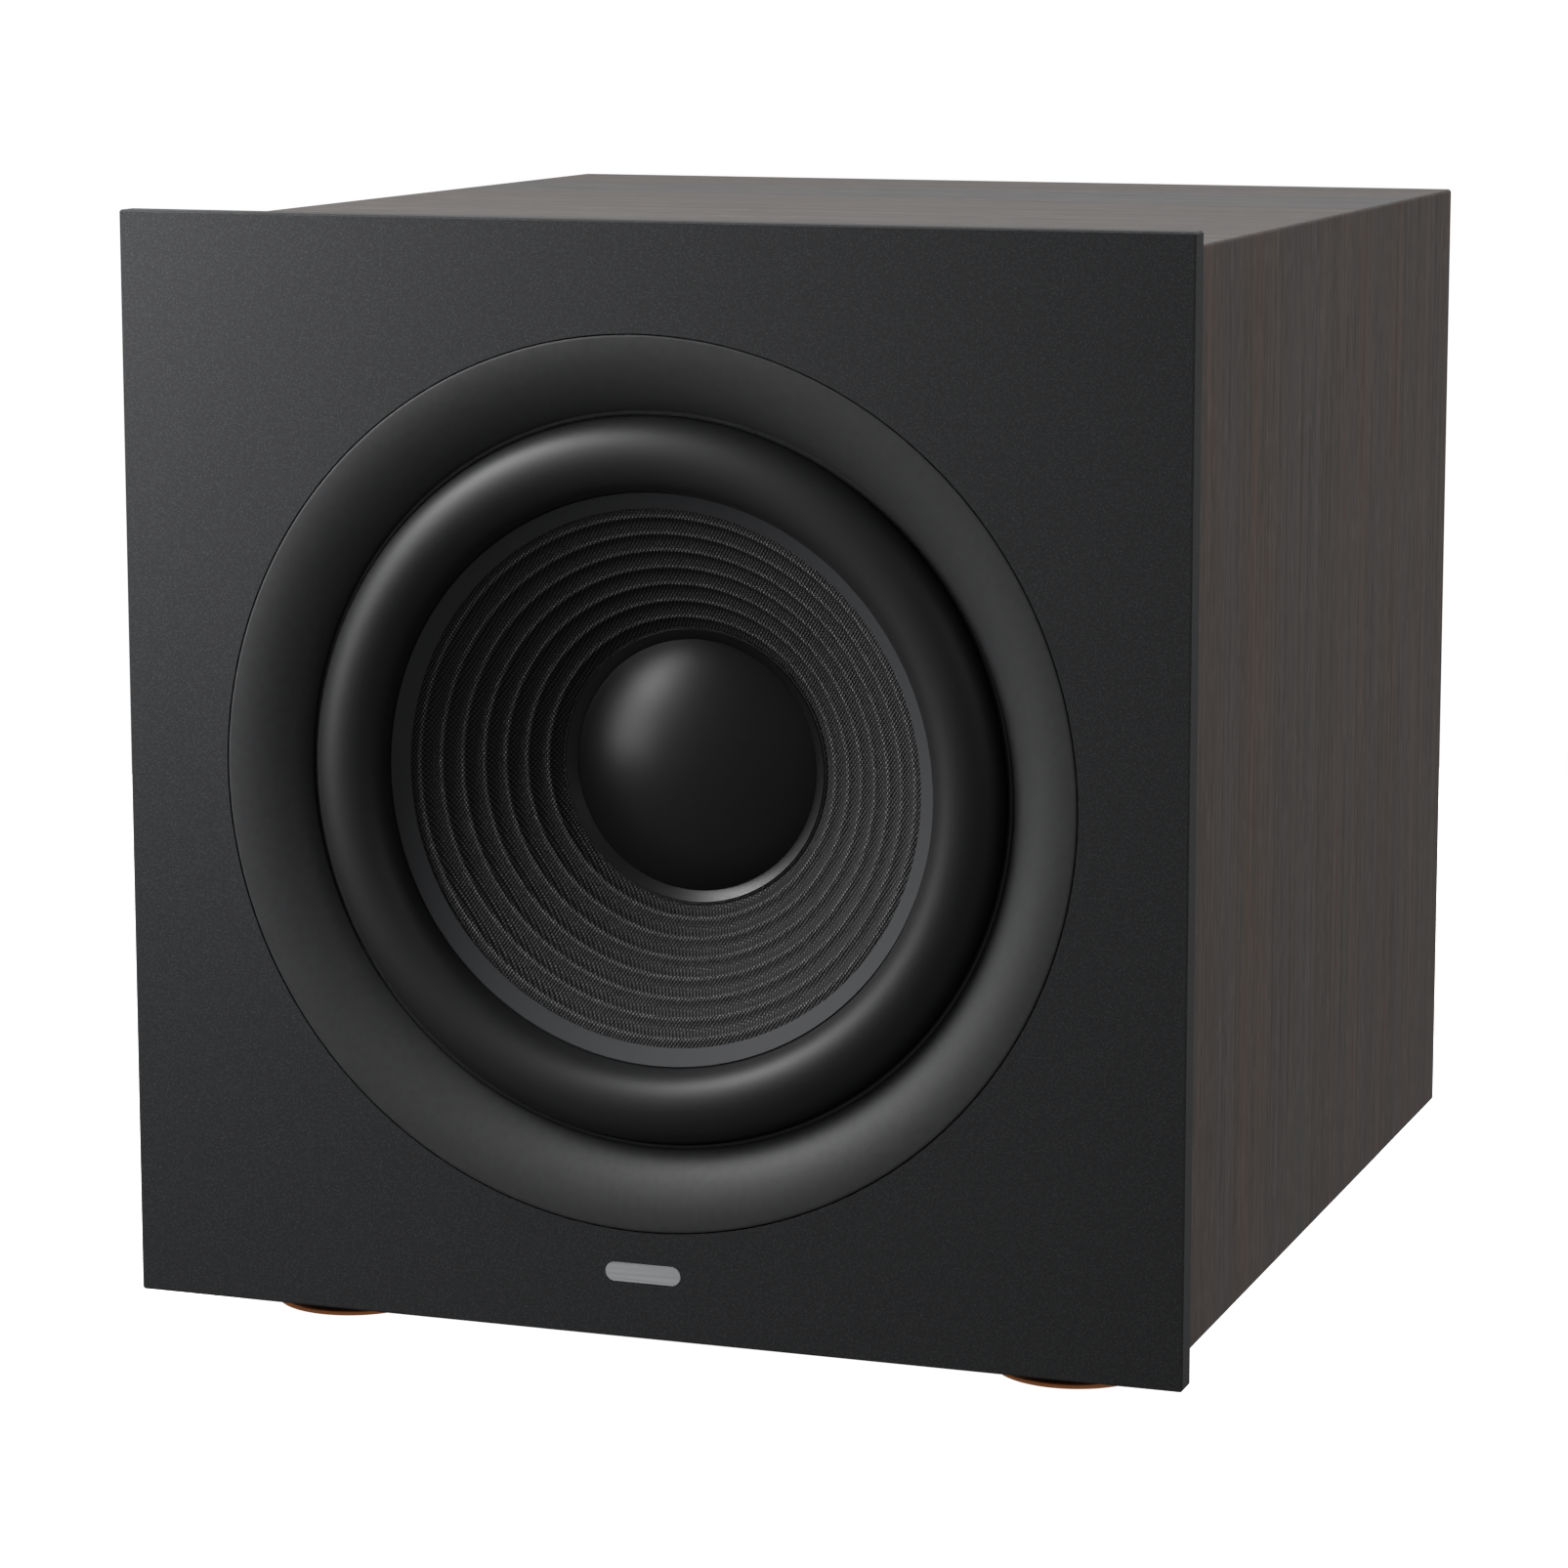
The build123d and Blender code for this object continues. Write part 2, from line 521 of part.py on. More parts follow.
def dust_cap():
    """A domed shell whose rim stands on the cone."""
    rim = cone_depth(CAP_RADIUS) - CAP_RING_THICKNESS
    apex = rim - CAP_HEIGHT
    outside = (CAP_RADIUS**2 + CAP_HEIGHT**2) / (2 * CAP_HEIGHT)
    inside = outside - CAP_WALL
    centre = apex + outside
    inner_rim = CAP_RADIUS - CAP_WALL

    def front(radius):
        return (radius, centre - sqrt(outside**2 - radius**2))

    def back(radius):
        return (radius, centre - sqrt(inside**2 - radius**2))

    outline = [ThreePointArc(front(0), front(CAP_RADIUS / 2), front(CAP_RADIUS))]
    outline += path(front(CAP_RADIUS), (CAP_RADIUS, cone_depth(CAP_RADIUS)),
                    (inner_rim, cone_depth(inner_rim)), back(inner_rim))
    outline += [ThreePointArc(back(inner_rim), back(inner_rim / 2), back(0))]
    outline += path(back(0), front(0))
    return turned(outline, FRONT_Y)


def voice_coil():
    """The tube on the cone's neck and the copper winding on its back end."""
    inner = FORMER_RADIUS - FORMER_WALL
    top = cone_depth(FORMER_RADIUS) - 1.0
    former = turned(lines((inner, top), (FORMER_RADIUS, top), (FORMER_RADIUS, FORMER_END_DEPTH),
                          (inner, FORMER_END_DEPTH)), FRONT_Y)
    end = FORMER_END_DEPTH - WINDING_TAIL
    outer = FORMER_RADIUS + WINDING_WALL
    winding = turned(lines((FORMER_RADIUS, end - WINDING_LENGTH), (outer, end - WINDING_LENGTH),
                           (outer, end), (FORMER_RADIUS, end)), FRONT_Y)
    return {"voice_coil_former": former, "voice_coil_winding": winding}


def spider():
    """The corrugated disc that centres the voice coil: half-waves between two flat rings."""
    first = FORMER_RADIUS + SPIDER_INNER_FLAT
    last = SPIDER_RADIUS - SPIDER_LANDING
    pitch = (last - first) / SPIDER_HALF_WAVES

    def wave(level):
        edges = []
        for i in range(SPIDER_HALF_WAVES):
            start = first + i * pitch
            rise = SPIDER_WAVE_HEIGHT if i % 2 else -SPIDER_WAVE_HEIGHT
            edges.append(ThreePointArc((start, level), (start + pitch / 2, level + rise),
                                       (start + pitch, level)))
        return edges

    front, back = SPIDER_DEPTH, SPIDER_DEPTH + SPIDER_WALL
    outline = path((FORMER_RADIUS, front), (first, front)) + wave(front)
    outline += path((last, front), (SPIDER_RADIUS, front), (SPIDER_RADIUS, back), (last, back))
    outline += wave(back) + path((first, back), (FORMER_RADIUS, back), (FORMER_RADIUS, front))
    return turned(outline, FRONT_Y)


def woofer_basket():
    """Cast frame: flange, skirt, six arms, the spider's shelf and the neck on the top plate."""
    under = FLANGE_DEPTH + FLANGE_THICKNESS
    skirt_end = under + SKIRT_HEIGHT
    wall = BASKET_WALL
    neck_inner = NECK_RADIUS - wall
    arms_end = SHELF_DEPTH + wall
    upper = turned(lines(
        (ROLL_OUTER_RADIUS - 1, FLANGE_DEPTH), (FLANGE_RADIUS, FLANGE_DEPTH),
        (FLANGE_RADIUS, under), (SKIRT_RADIUS, under), (SKIRT_RADIUS, skirt_end),
        (NECK_RADIUS, arms_end), (neck_inner, arms_end), (neck_inner, SHELF_DEPTH),
        (NECK_RADIUS - 1, SHELF_DEPTH), (SKIRT_RADIUS - wall, skirt_end - 1),
        (SKIRT_RADIUS - wall, under), (ROLL_OUTER_RADIUS - 1, under)), FRONT_Y)
    ring = Circle(SKIRT_RADIUS - 3 * wall) - Circle(NECK_RADIUS + 2 * wall)
    half = (360 / BASKET_ARMS - BASKET_ARM_ANGLE) / 2
    reach = 2 * SKIRT_RADIUS
    wedge = make_face(lines((0, 0), (reach * cos(radians(half)), reach * sin(radians(half))),
                            (reach * cos(radians(half)), -reach * sin(radians(half)))))
    for i in range(BASKET_ARMS):
        window = ring & (Rot(0, 0, 360 / BASKET_ARMS * i) * wedge)
        upper -= prism(window, depth(under + 1), depth(arms_end + 1), z=CENTRE_Z)
    lower = turned(lines(
        (SPIDER_RADIUS - SPIDER_LANDING, SHELF_DEPTH), (NECK_RADIUS, SHELF_DEPTH),
        (NECK_RADIUS, TOP_PLATE_DEPTH), (TOP_PLATE_BORE + 2, TOP_PLATE_DEPTH),
        (TOP_PLATE_BORE + 2, TOP_PLATE_DEPTH - wall), (neck_inner, TOP_PLATE_DEPTH - wall),
        (neck_inner, arms_end), (SPIDER_RADIUS - SPIDER_LANDING, arms_end)), FRONT_Y)
    tab_height = TERMINAL_Z - CENTRE_Z - neck_inner + 8
    tab = block(TERMINAL_WIDTH, tab_height, depth(arms_end), depth(TOP_PLATE_DEPTH),
                z=TERMINAL_Z - tab_height / 2)
    tab -= rod(NECK_RADIUS - 1, depth(arms_end - 1), depth(TOP_PLATE_DEPTH + 1), z=CENTRE_Z)
    basket = upper + lower + tab
    for across, up in woofer_screw_places():
        basket -= rod(SHANK_RADIUS + PASSING_GAP, depth(FLANGE_DEPTH - 1), depth(under + 1),
                      across, CENTRE_Z + up)
    return basket


def woofer_gasket():
    """Foam ring between the flange and the rebate of the inner baffle."""
    under = FLANGE_DEPTH + FLANGE_THICKNESS
    ring = turned(lines((CUTOUT_RADIUS, under), (FLANGE_RADIUS, under),
                        (FLANGE_RADIUS, RECESS_DEPTH), (CUTOUT_RADIUS, RECESS_DEPTH)), FRONT_Y)
    for across, up in woofer_screw_places():
        ring -= rod(SHANK_RADIUS + PASSING_GAP, depth(under - 1), depth(RECESS_DEPTH + 1),
                    across, CENTRE_Z + up)
    return ring


def woofer_screws():
    return together([Pos(across, depth(FLANGE_DEPTH), CENTRE_Z + up) * screw(WOOFER_SCREW_LENGTH)
                     for across, up in woofer_screw_places()])


def motor():
    """Front plate of the magnet, the ferrite rings, and the back plate with its pole."""
    top_plate = turned(lines(
        (TOP_PLATE_BORE, TOP_PLATE_DEPTH), (TOP_PLATE_RADIUS, TOP_PLATE_DEPTH),
        (TOP_PLATE_RADIUS, MAGNET_DEPTH), (TOP_PLATE_BORE, MAGNET_DEPTH)), FRONT_Y)
    rings = []
    for i in range(MAGNET_COUNT):
        near = MAGNET_DEPTH + i * MAGNET_THICKNESS
        far = near + MAGNET_THICKNESS
        rings.append(turned(lines(
            (MAGNET_BORE, near), (MAGNET_RADIUS - MAGNET_EDGE, near),
            (MAGNET_RADIUS, near + MAGNET_EDGE), (MAGNET_RADIUS, far - MAGNET_EDGE),
            (MAGNET_RADIUS - MAGNET_EDGE, far), (MAGNET_BORE, far)), FRONT_Y))
    pole = FORMER_RADIUS - FORMER_WALL - POLE_GAP
    yoke = turned(lines(
        (VENT_RADIUS, TOP_PLATE_DEPTH), (pole, TOP_PLATE_DEPTH), (pole, YOKE_DEPTH),
        (YOKE_RADIUS, YOKE_DEPTH), (YOKE_RADIUS, WOOFER_END_DEPTH),
        (VENT_RADIUS, WOOFER_END_DEPTH)), FRONT_Y)
    return {"top_plate": top_plate, "magnet_rings": together(rings), "pole_and_back_plate": yoke}


def terminal_strip():
    """A small board on the basket's tab with two solder lugs."""
    near = depth(SHELF_DEPTH + BASKET_WALL)
    strip = block(TERMINAL_WIDTH, TERMINAL_THICKNESS, near, near + TERMINAL_DEPTH,
                  z=TERMINAL_Z + TERMINAL_THICKNESS / 2)
    for side in (-1, 1):
        strip += block(LUG_SIZE, LUG_SIZE, near + 2, near + TERMINAL_DEPTH,
                       side * LUG_SPACING / 2, LUG_Z)
    return strip


def speaker_leads():
    """Two insulated leads from the woofer's lugs to the front wall of the amplifier's box."""
    lug_y = SHELF_DEPTH + BASKET_WALL + TERMINAL_DEPTH
    wall = AMP_INNER_Y - ENCLOSURE_DEPTH - FRONT_Y
    lug, end = LUG_SPACING / 2, AMP_Z + 38
    # Points are (across, depth, height), chosen by hand from the lug to the wall.
    routes = (
        ((lug, lug_y, LUG_Z), (lug, 96, LUG_Z), (16, 119, LUG_Z + 5), (35, 142, LUG_Z - 1),
         (60, 166, 236), (77, 195, 206), (80, 228, 178), (77, 256, end + 5), (76, 274, end),
         (76, wall, end)),
        ((-lug, lug_y, LUG_Z), (-lug, 96, LUG_Z), (-3, 119, LUG_Z + 6), (15, 143, LUG_Z - 4),
         (44, 168, 226), (64, 198, 194), (69, 231, 166), (67, 257, end - 6), (66, 274, end - 12),
         (66, wall, end - 12)))
    leads = []
    for route in routes:
        points = [Vector(x, depth(d), z) for x, d, z in route]
        radii = []
        for before, at, after in zip(points, points[1:], points[2:]):
            turn = radians((at - before).get_angle(after - at))
            shorter = min((at - before).length, (after - at).length)
            radii.append(0.45 * shorter / tan(turn / 2))
        print("lead bend radii", [round(radius) for radius in radii])
        line = FilletPolyline(*points, radius=radii)
        section = Plane(origin=line @ 0, z_dir=line % 0) * Circle(LEAD_RADIUS)
        lead = sweep(section, path=line)
        print("lead length", round(line.length), "volume", round(lead.volume),
              "against", round(pi * LEAD_RADIUS**2 * line.length))
        leads.append(lead)
    return together(leads)


# ---- Port ----
def port_screw_places():
    return around(PORT_SCREWS, PORT_FLANGE_RADIUS - PORT_FLANGE_WIDTH / 2, 45)


def sleeve(shoulder, way):
    """The points of a flare's socket from its shoulder, along way, back to the bore."""
    tube = PORT_RADIUS + PORT_WALL
    outer = tube + PORT_SLEEVE_WALL
    end = shoulder + way * PORT_SLEEVE_LENGTH
    return ((outer, shoulder - way * PORT_WALL), (outer, end), (tube + SHANK_GAP, end),
            (tube + SHANK_GAP, shoulder), (PORT_RADIUS, shoulder))


def port():
    """A flared mouth screwed to the back, a straight tube and a flare on its inner end."""
    mouth = PORT_RADIUS + PORT_MOUTH_ARC
    face = PORT_FLANGE_THICKNESS
    turn = sqrt(0.5)
    arc, arc_y = PORT_MOUTH_ARC, -PORT_ARC_INSET
    shoulder = arc_y - PORT_WALL
    outline = [ThreePointArc((PORT_RADIUS, arc_y), (mouth - arc * turn, arc_y + arc * turn),
                             (mouth, face))]
    outline += path((mouth, face), (PORT_FLANGE_RADIUS - 0.5, face),
                    (PORT_FLANGE_RADIUS, face - 0.5), (PORT_FLANGE_RADIUS, 0), (mouth, 0))
    arc = PORT_ARC_INSET
    outline += [ThreePointArc((mouth, 0), (mouth - arc * turn, arc_y + arc * turn),
                              (mouth - arc, arc_y))]
    outline += path((mouth - arc, arc_y), *sleeve(shoulder, -1), (PORT_RADIUS, arc_y))
    outer_flare = turned(outline, BACK_Y, z=PORT_Z)
    for across, up in port_screw_places():
        outer_flare -= rod(SHANK_RADIUS + PASSING_GAP, BACK_Y - 1, BACK_Y + face + 1,
                           across, PORT_Z + up)
    far = shoulder - PORT_TUBE_LENGTH
    tube = turned(lines((PORT_RADIUS, far), (PORT_RADIUS + PORT_WALL, far),
                        (PORT_RADIUS + PORT_WALL, shoulder), (PORT_RADIUS, shoulder)),
                  BACK_Y, z=PORT_Z)
    mouth = PORT_RADIUS + PORT_INNER_ARC
    arc, arc_y = PORT_INNER_ARC, far - PORT_WALL
    outline = [ThreePointArc((PORT_RADIUS, arc_y), (mouth - arc * turn, arc_y - arc * turn),
                             (mouth, arc_y - arc))]
    arc = PORT_INNER_ARC - PORT_WALL
    outline += path((mouth, arc_y - PORT_INNER_ARC), (mouth, arc_y - arc))
    outline += [ThreePointArc((mouth, arc_y - arc), (mouth - arc * turn, arc_y - arc * turn),
                              (mouth - arc, arc_y))]
    outline += path((mouth - arc, arc_y), *sleeve(far, 1), (PORT_RADIUS, arc_y))
    inner_flare = turned(outline, BACK_Y, z=PORT_Z)
    screws = [Pos(across, BACK_Y + face, PORT_Z + up) * screw(PORT_SCREW_LENGTH, True)
              for across, up in port_screw_places()]
    return {"port_outer_flare": outer_flare, "port_tube": tube, "port_inner_flare": inner_flare,
            "port_screws": together(screws)}


# ---- Plate amplifier ----
def amp_screw_places():
    """Screws round the rim of the amplifier plate, as (across, up)."""
    side = AMP_WIDTH / 2 - AMP_SIDE_RIM * 0.4
    top = AMP_HEIGHT / 2 - AMP_TOP_RIM * 0.5
    corners = [(x * side, z * top) for x in (-1, 1) for z in (-1, 0, 1)]
    return corners + [(x * side * 0.35, z * top) for x in (-1, 1) for z in (-1, 1)]


def amp_sheet(y_front, y_back, holes):
    """A rounded sheet the size of the amplifier plate, with its screw holes."""
    sheet = prism(RectangleRounded(AMP_WIDTH, AMP_HEIGHT, AMP_CORNER_RADIUS), y_front, y_back,
                  z=AMP_Z)
    for across, up in amp_screw_places():
        sheet -= rod(SHANK_RADIUS + holes, y_front - 1, y_back + 1, across, AMP_Z + up)
    return sheet


def amp_plate():
    """Metal plate with an opening for each control and connector."""
    low, high = AMP_INNER_Y - 1, AMP_OUTER_Y + 1
    plate = amp_sheet(AMP_INNER_Y, AMP_OUTER_Y, PASSING_GAP)
    for place in (GAIN_PLACE, CROSSOVER_PLACE):
        x, z = on_plate(place)
        plate -= rod(BUSH_RADIUS + SHANK_GAP, low, high, x, z)
    for place in (PHASE_PLACE, MODE_PLACE):
        x, z = on_plate(place)
        plate -= block(LEVER_WIDTH + LEVER_TRAVEL + 4 * SLIDING_GAP, LEVER_HEIGHT + 4 * SLIDING_GAP,
                       low, high, x, z)
    for place in JACK_PLACES:
        x, z = on_plate(place)
        plate -= rod(JACK_RADIUS + SHANK_GAP, low, high, x, z)
    x, z = on_plate(LED_PLACE)
    plate -= rod(LED_RADIUS + SHANK_GAP, low, high, x, z)
    x, z = on_plate(ROCKER_PLACE)
    plate -= block(ROCKER_BODY_WIDTH + 2 * SLIDING_GAP, ROCKER_BODY_HEIGHT + 2 * SLIDING_GAP,
                   low, high, x, z)
    x, z = on_plate(INLET_PLACE)
    plate -= block(INLET_BODY_WIDTH + 2 * SLIDING_GAP, INLET_BODY_HEIGHT + 2 * SLIDING_GAP,
                   low, high, x, z)
    return plate


def amp_gasket():
    """Foam frame between the amplifier plate and the rear panel."""
    frame = amp_sheet(BACK_Y, AMP_INNER_Y, PASSING_GAP)
    return frame - prism(RectangleRounded(AMP_CUT_WIDTH, AMP_CUT_HEIGHT, AMP_CORNER_RADIUS),
                         BACK_Y - 1, AMP_INNER_Y + 1, z=AMP_Z)


def amp_enclosure():
    """The sealed box behind the plate that keeps the cabinet's air off the electronics."""
    front = AMP_INNER_Y - ENCLOSURE_DEPTH
    box = prism(RectangleRounded(ENCLOSURE_WIDTH, ENCLOSURE_HEIGHT, AMP_CORNER_RADIUS),
                front, AMP_INNER_Y, z=AMP_Z)
    inner = RectangleRounded(ENCLOSURE_WIDTH - 2 * ENCLOSURE_WALL,
                             ENCLOSURE_HEIGHT - 2 * ENCLOSURE_WALL,
                             AMP_CORNER_RADIUS - ENCLOSURE_WALL)
    return box - prism(inner, front + ENCLOSURE_WALL, AMP_INNER_Y + 1, z=AMP_Z)


def electronics():
    """Circuit board on standoffs, with a transformer and reservoir capacitors on its far side."""
    board = block(BOARD_WIDTH, BOARD_HEIGHT, BOARD_Y - BOARD_THICKNESS, BOARD_Y, z=AMP_Z)
    across, up = BOARD_WIDTH / 2 - 2 * STANDOFF_RADIUS, BOARD_HEIGHT / 2 - 2 * STANDOFF_RADIUS
    standoffs = [rod(STANDOFF_RADIUS, BOARD_Y, AMP_INNER_Y, i * across, AMP_Z + j * up)
                 for i in (-1, 1) for j in (-1, 1)]
    far = BOARD_Y - BOARD_THICKNESS
    tall = ENCLOSURE_DEPTH - ENCLOSURE_WALL - BOARD_STANDOFF - BOARD_THICKNESS - 4
    core_y = far - tall * 0.25
    core = block(54, 44, core_y - tall * 0.5, core_y, -50, AMP_Z)
    winding = prism(RectangleRounded(38, 60, 6), far - tall, far, -50, AMP_Z)
    transformer = core + winding
    capacitors = []
    for i in range(3):
        can = rod(11, far - tall * 0.85, far, 6 + 26 * i, AMP_Z + 18)
        can -= rod(8, far - tall, far - tall * 0.85 + 0.6, 6 + 26 * i, AMP_Z + 18)
        capacitors.append(can)
    return {"amp_board": board, "board_standoffs": together(standoffs),
            "transformer": transformer, "capacitors": together(capacitors)}


def rotary_control(place):
    """A ribbed knob, its steel shaft and the potentiometer with its bush and nut."""
    x, z = on_plate(place)
    back = AMP_OUTER_Y + KNOB_GAP
    front = back + KNOB_LENGTH
    outline = path((SHAFT_RADIUS + SHAFT_RUNNING_GAP, 0), (KNOB_RADIUS, 0),
                   (KNOB_RADIUS, KNOB_LENGTH - 1.5))
    outline += [ThreePointArc((KNOB_RADIUS, KNOB_LENGTH - 1.5),
                              (KNOB_RADIUS - 0.44, KNOB_LENGTH - 0.44),
                              (KNOB_RADIUS - 1.5, KNOB_LENGTH))]
    outline += path((KNOB_RADIUS - 1.5, KNOB_LENGTH), (0, KNOB_LENGTH), (0, SHAFT_IN_KNOB),
                    (SHAFT_RADIUS + SHAFT_RUNNING_GAP, SHAFT_IN_KNOB),
                    (SHAFT_RADIUS + SHAFT_RUNNING_GAP, 0))
    knob = turned(outline, back, x, z)
    for across, up in around(KNOB_RIBS, KNOB_RADIUS + 0.5):
        knob -= rod(1.0, back - 1, front - 3, x + across, z + up)
    knob -= block(1.2, KNOB_RADIUS, front - 0.6, front + 1, x, z + KNOB_RADIUS / 2 + 2)
    inner = AMP_INNER_Y - POT_LENGTH
    shaft = rod(SHAFT_RADIUS, inner + 2, back + SHAFT_IN_KNOB, x, z)
    bore = SHAFT_RADIUS + SHAFT_RUNNING_GAP
    pot = rod(POT_RADIUS, inner, AMP_INNER_Y, x, z)
    pot += rod(BUSH_RADIUS, AMP_INNER_Y, AMP_OUTER_Y + BUSH_NUT, x, z)
    pot += prism(RegularPolygon(BUSH_RADIUS + 2, 6), AMP_OUTER_Y, AMP_OUTER_Y + BUSH_NUT, x, z)
    pot -= rod(bore, inner + 1, AMP_OUTER_Y + BUSH_NUT + 1, x, z)
    return knob, shaft, pot


def slide_switch(place):
    """A slide switch behind the plate and the lever that shows through its slot."""
    x, z = on_plate(place)
    back = AMP_INNER_Y - SWITCH_LENGTH
    body = block(SWITCH_WIDTH, SWITCH_HEIGHT, back, AMP_INNER_Y, x, z)
    slot_width = LEVER_WIDTH + LEVER_TRAVEL + 2 * SLIDING_GAP
    slot_height = LEVER_HEIGHT + 2 * SLIDING_GAP
    body -= block(slot_width, slot_height, back + 2, AMP_INNER_Y + 1, x, z)
    lever_x = x - LEVER_TRAVEL / 2
    lever = block(LEVER_WIDTH, LEVER_HEIGHT, back + 2 + SLIDING_GAP, AMP_OUTER_Y + LEVER_PROUD,
                  lever_x, z)
    for i in (-1, 0, 1):
        lever -= block(0.6, LEVER_HEIGHT + 1, AMP_OUTER_Y + LEVER_PROUD - 0.6,
                       AMP_OUTER_Y + LEVER_PROUD + 1, lever_x + 1.5 * i, z)
    return body, lever


def mains_switch():
    """A rocker on a pivot in a housing that snaps into the plate."""
    x, z = on_plate(ROCKER_PLACE)
    face = AMP_OUTER_Y + BEZEL_THICKNESS
    housing = block(ROCKER_BODY_WIDTH, ROCKER_BODY_HEIGHT, AMP_INNER_Y - ROCKER_BODY_LENGTH,
                    AMP_OUTER_Y, x, z)
    housing += block(ROCKER_BODY_WIDTH + 2 * BEZEL_WIDTH, ROCKER_BODY_HEIGHT + 2 * BEZEL_WIDTH,
                     AMP_OUTER_Y, face, x, z)
    floor = ROCKER_PIVOT_Y - ROCKER_THICKNESS - 2
    housing -= block(ROCKER_WIDTH + 2 * SLIDING_GAP, ROCKER_BODY_HEIGHT - 2 * ROCKER_WALL,
                     floor, face + 1, x, z)
    pin_reach = ROCKER_WIDTH / 2 + SLIDING_GAP + ROCKER_WALL / 2
    hole = Pos(x, ROCKER_PIVOT_Y, z) * Rot(0, 90, 0) * Cylinder(
        ROCKER_PIVOT_RADIUS + SHAFT_RUNNING_GAP, 2 * pin_reach + 2 * SLIDING_GAP)
    housing -= hole
    half, thick = ROCKER_HEIGHT / 2, ROCKER_THICKNESS / 2
    outline = [ThreePointArc((thick + 0.6, half), (thick - 1.0, 0), (thick + 0.6, -half))]
    outline += path((thick + 0.6, -half), (-thick + 1.5, -half), (-thick, 0),
                    (-thick + 1.5, half), (thick + 0.6, half))
    side = make_face([Plane.YZ * edge for edge in outline])
    lever = Pos(-ROCKER_WIDTH / 2, 0, 0) * extrude(side, ROCKER_WIDTH, dir=(1, 0, 0))
    lever += Rot(0, 90, 0) * Cylinder(ROCKER_PIVOT_RADIUS, 2 * pin_reach)
    rocker = Pos(x, ROCKER_PIVOT_Y, z) * Rot(ROCKER_TILT, 0, 0) * lever
    return {"mains_switch_housing": housing, "mains_rocker": rocker}


def mains_inlet():
    """Appliance inlet with three flat pins and a fuse drawer under the socket."""
    x, z = on_plate(INLET_PLACE)
    face = AMP_OUTER_Y + INLET_FLANGE_THICKNESS
    socket_z, drawer_z = z + SOCKET_RISE, z + DRAWER_RISE
    body = block(INLET_BODY_WIDTH, INLET_BODY_HEIGHT, face - SOCKET_LENGTH - 3, face, x, z)
    body += prism(RectangleRounded(INLET_FLANGE_WIDTH, INLET_FLANGE_HEIGHT, 3), AMP_OUTER_Y, face,
                  x, z)
    half_w, half_h, cut = SOCKET_WIDTH / 2, SOCKET_HEIGHT / 2, 4.5
    outline = make_face(lines((-half_w, -half_h), (half_w, -half_h), (half_w, half_h - cut),
                              (half_w - cut, half_h), (cut - half_w, half_h),
                              (-half_w, half_h - cut)))
    floor = face - SOCKET_LENGTH
    body -= prism(outline, floor, face + 1, x, socket_z)
    body -= block(DRAWER_WIDTH + 2 * SLIDING_GAP, DRAWER_HEIGHT + 2 * SLIDING_GAP,
                  face - DRAWER_LENGTH - SLIDING_GAP, face + 1, x, drawer_z)
    for side in (-1, 1):
        body -= rod(INLET_SCREW_HOLE, AMP_OUTER_Y - 1, face + 1, x + side * INLET_SCREW_SPACING / 2, z)
    pins = []
    for i, rise in ((-1, -2.0), (0, 1.0), (1, -2.0)):
        pins.append(block(INLET_PIN_WIDTH, INLET_PIN_HEIGHT, floor, floor + INLET_PIN_LENGTH,
                          x + i * INLET_PIN_SPACING, socket_z + rise - 1))
    drawer = block(DRAWER_WIDTH, DRAWER_HEIGHT, face - DRAWER_LENGTH, face, x, drawer_z)
    drawer -= block(DRAWER_WIDTH - 4, DRAWER_HEIGHT - 1.5, face - DRAWER_LENGTH + 2, face - 2,
                    x, drawer_z + 1)
    drawer -= block(6, 1.5, face - 1, face + 1, x, drawer_z - DRAWER_HEIGHT / 2 + 0.5)
    return {"mains_inlet": body, "inlet_pins": together(pins), "fuse_drawer": drawer}


def input_jacks():
    """Three phono sockets: a plated shell and an insulator with the centre contact's hole."""
    shells, inserts = [], []
    for place in JACK_PLACES:
        x, z = on_plate(place)
        flange = JACK_FLANGE_THICKNESS
        end = flange + JACK_LENGTH
        shells.append(turned(lines(
            (JACK_BORE, -JACK_TAIL), (JACK_RADIUS, -JACK_TAIL), (JACK_RADIUS, 0),
            (JACK_FLANGE_RADIUS, 0), (JACK_FLANGE_RADIUS, flange), (JACK_RADIUS, flange),
            (JACK_RADIUS, end), (JACK_BORE, end)), AMP_OUTER_Y, x, z))
        fit = JACK_BORE - SHAFT_RUNNING_GAP
        inserts.append(turned(lines(
            (0, -JACK_TAIL - 4), (JACK_RADIUS + 1, -JACK_TAIL - 4), (JACK_RADIUS + 1, -JACK_TAIL),
            (fit, -JACK_TAIL), (fit, end - 1), (JACK_CONTACT_RADIUS, end - 1),
            (JACK_CONTACT_RADIUS, end - 9), (0, end - 9)), AMP_OUTER_Y, x, z))
    return {"jack_shells": together(shells), "jack_inserts": together(inserts)}


def status_led():
    """A round lamp pushed through the plate from inside."""
    x, z = on_plate(LED_PLACE)
    outline = path((0, -AMP_THICKNESS - 4), (LED_RADIUS + 0.6, -AMP_THICKNESS - 4),
                   (LED_RADIUS + 0.6, -AMP_THICKNESS), (LED_RADIUS, -AMP_THICKNESS),
                   (LED_RADIUS, 0.5))
    turn = LED_RADIUS * sqrt(0.5)
    outline += [ThreePointArc((LED_RADIUS, 0.5), (turn, 0.5 + turn), (0, 0.5 + LED_RADIUS))]
    outline += path((0, 0.5 + LED_RADIUS), (0, -AMP_THICKNESS - 4))
    return turned(outline, AMP_OUTER_Y, x, z)


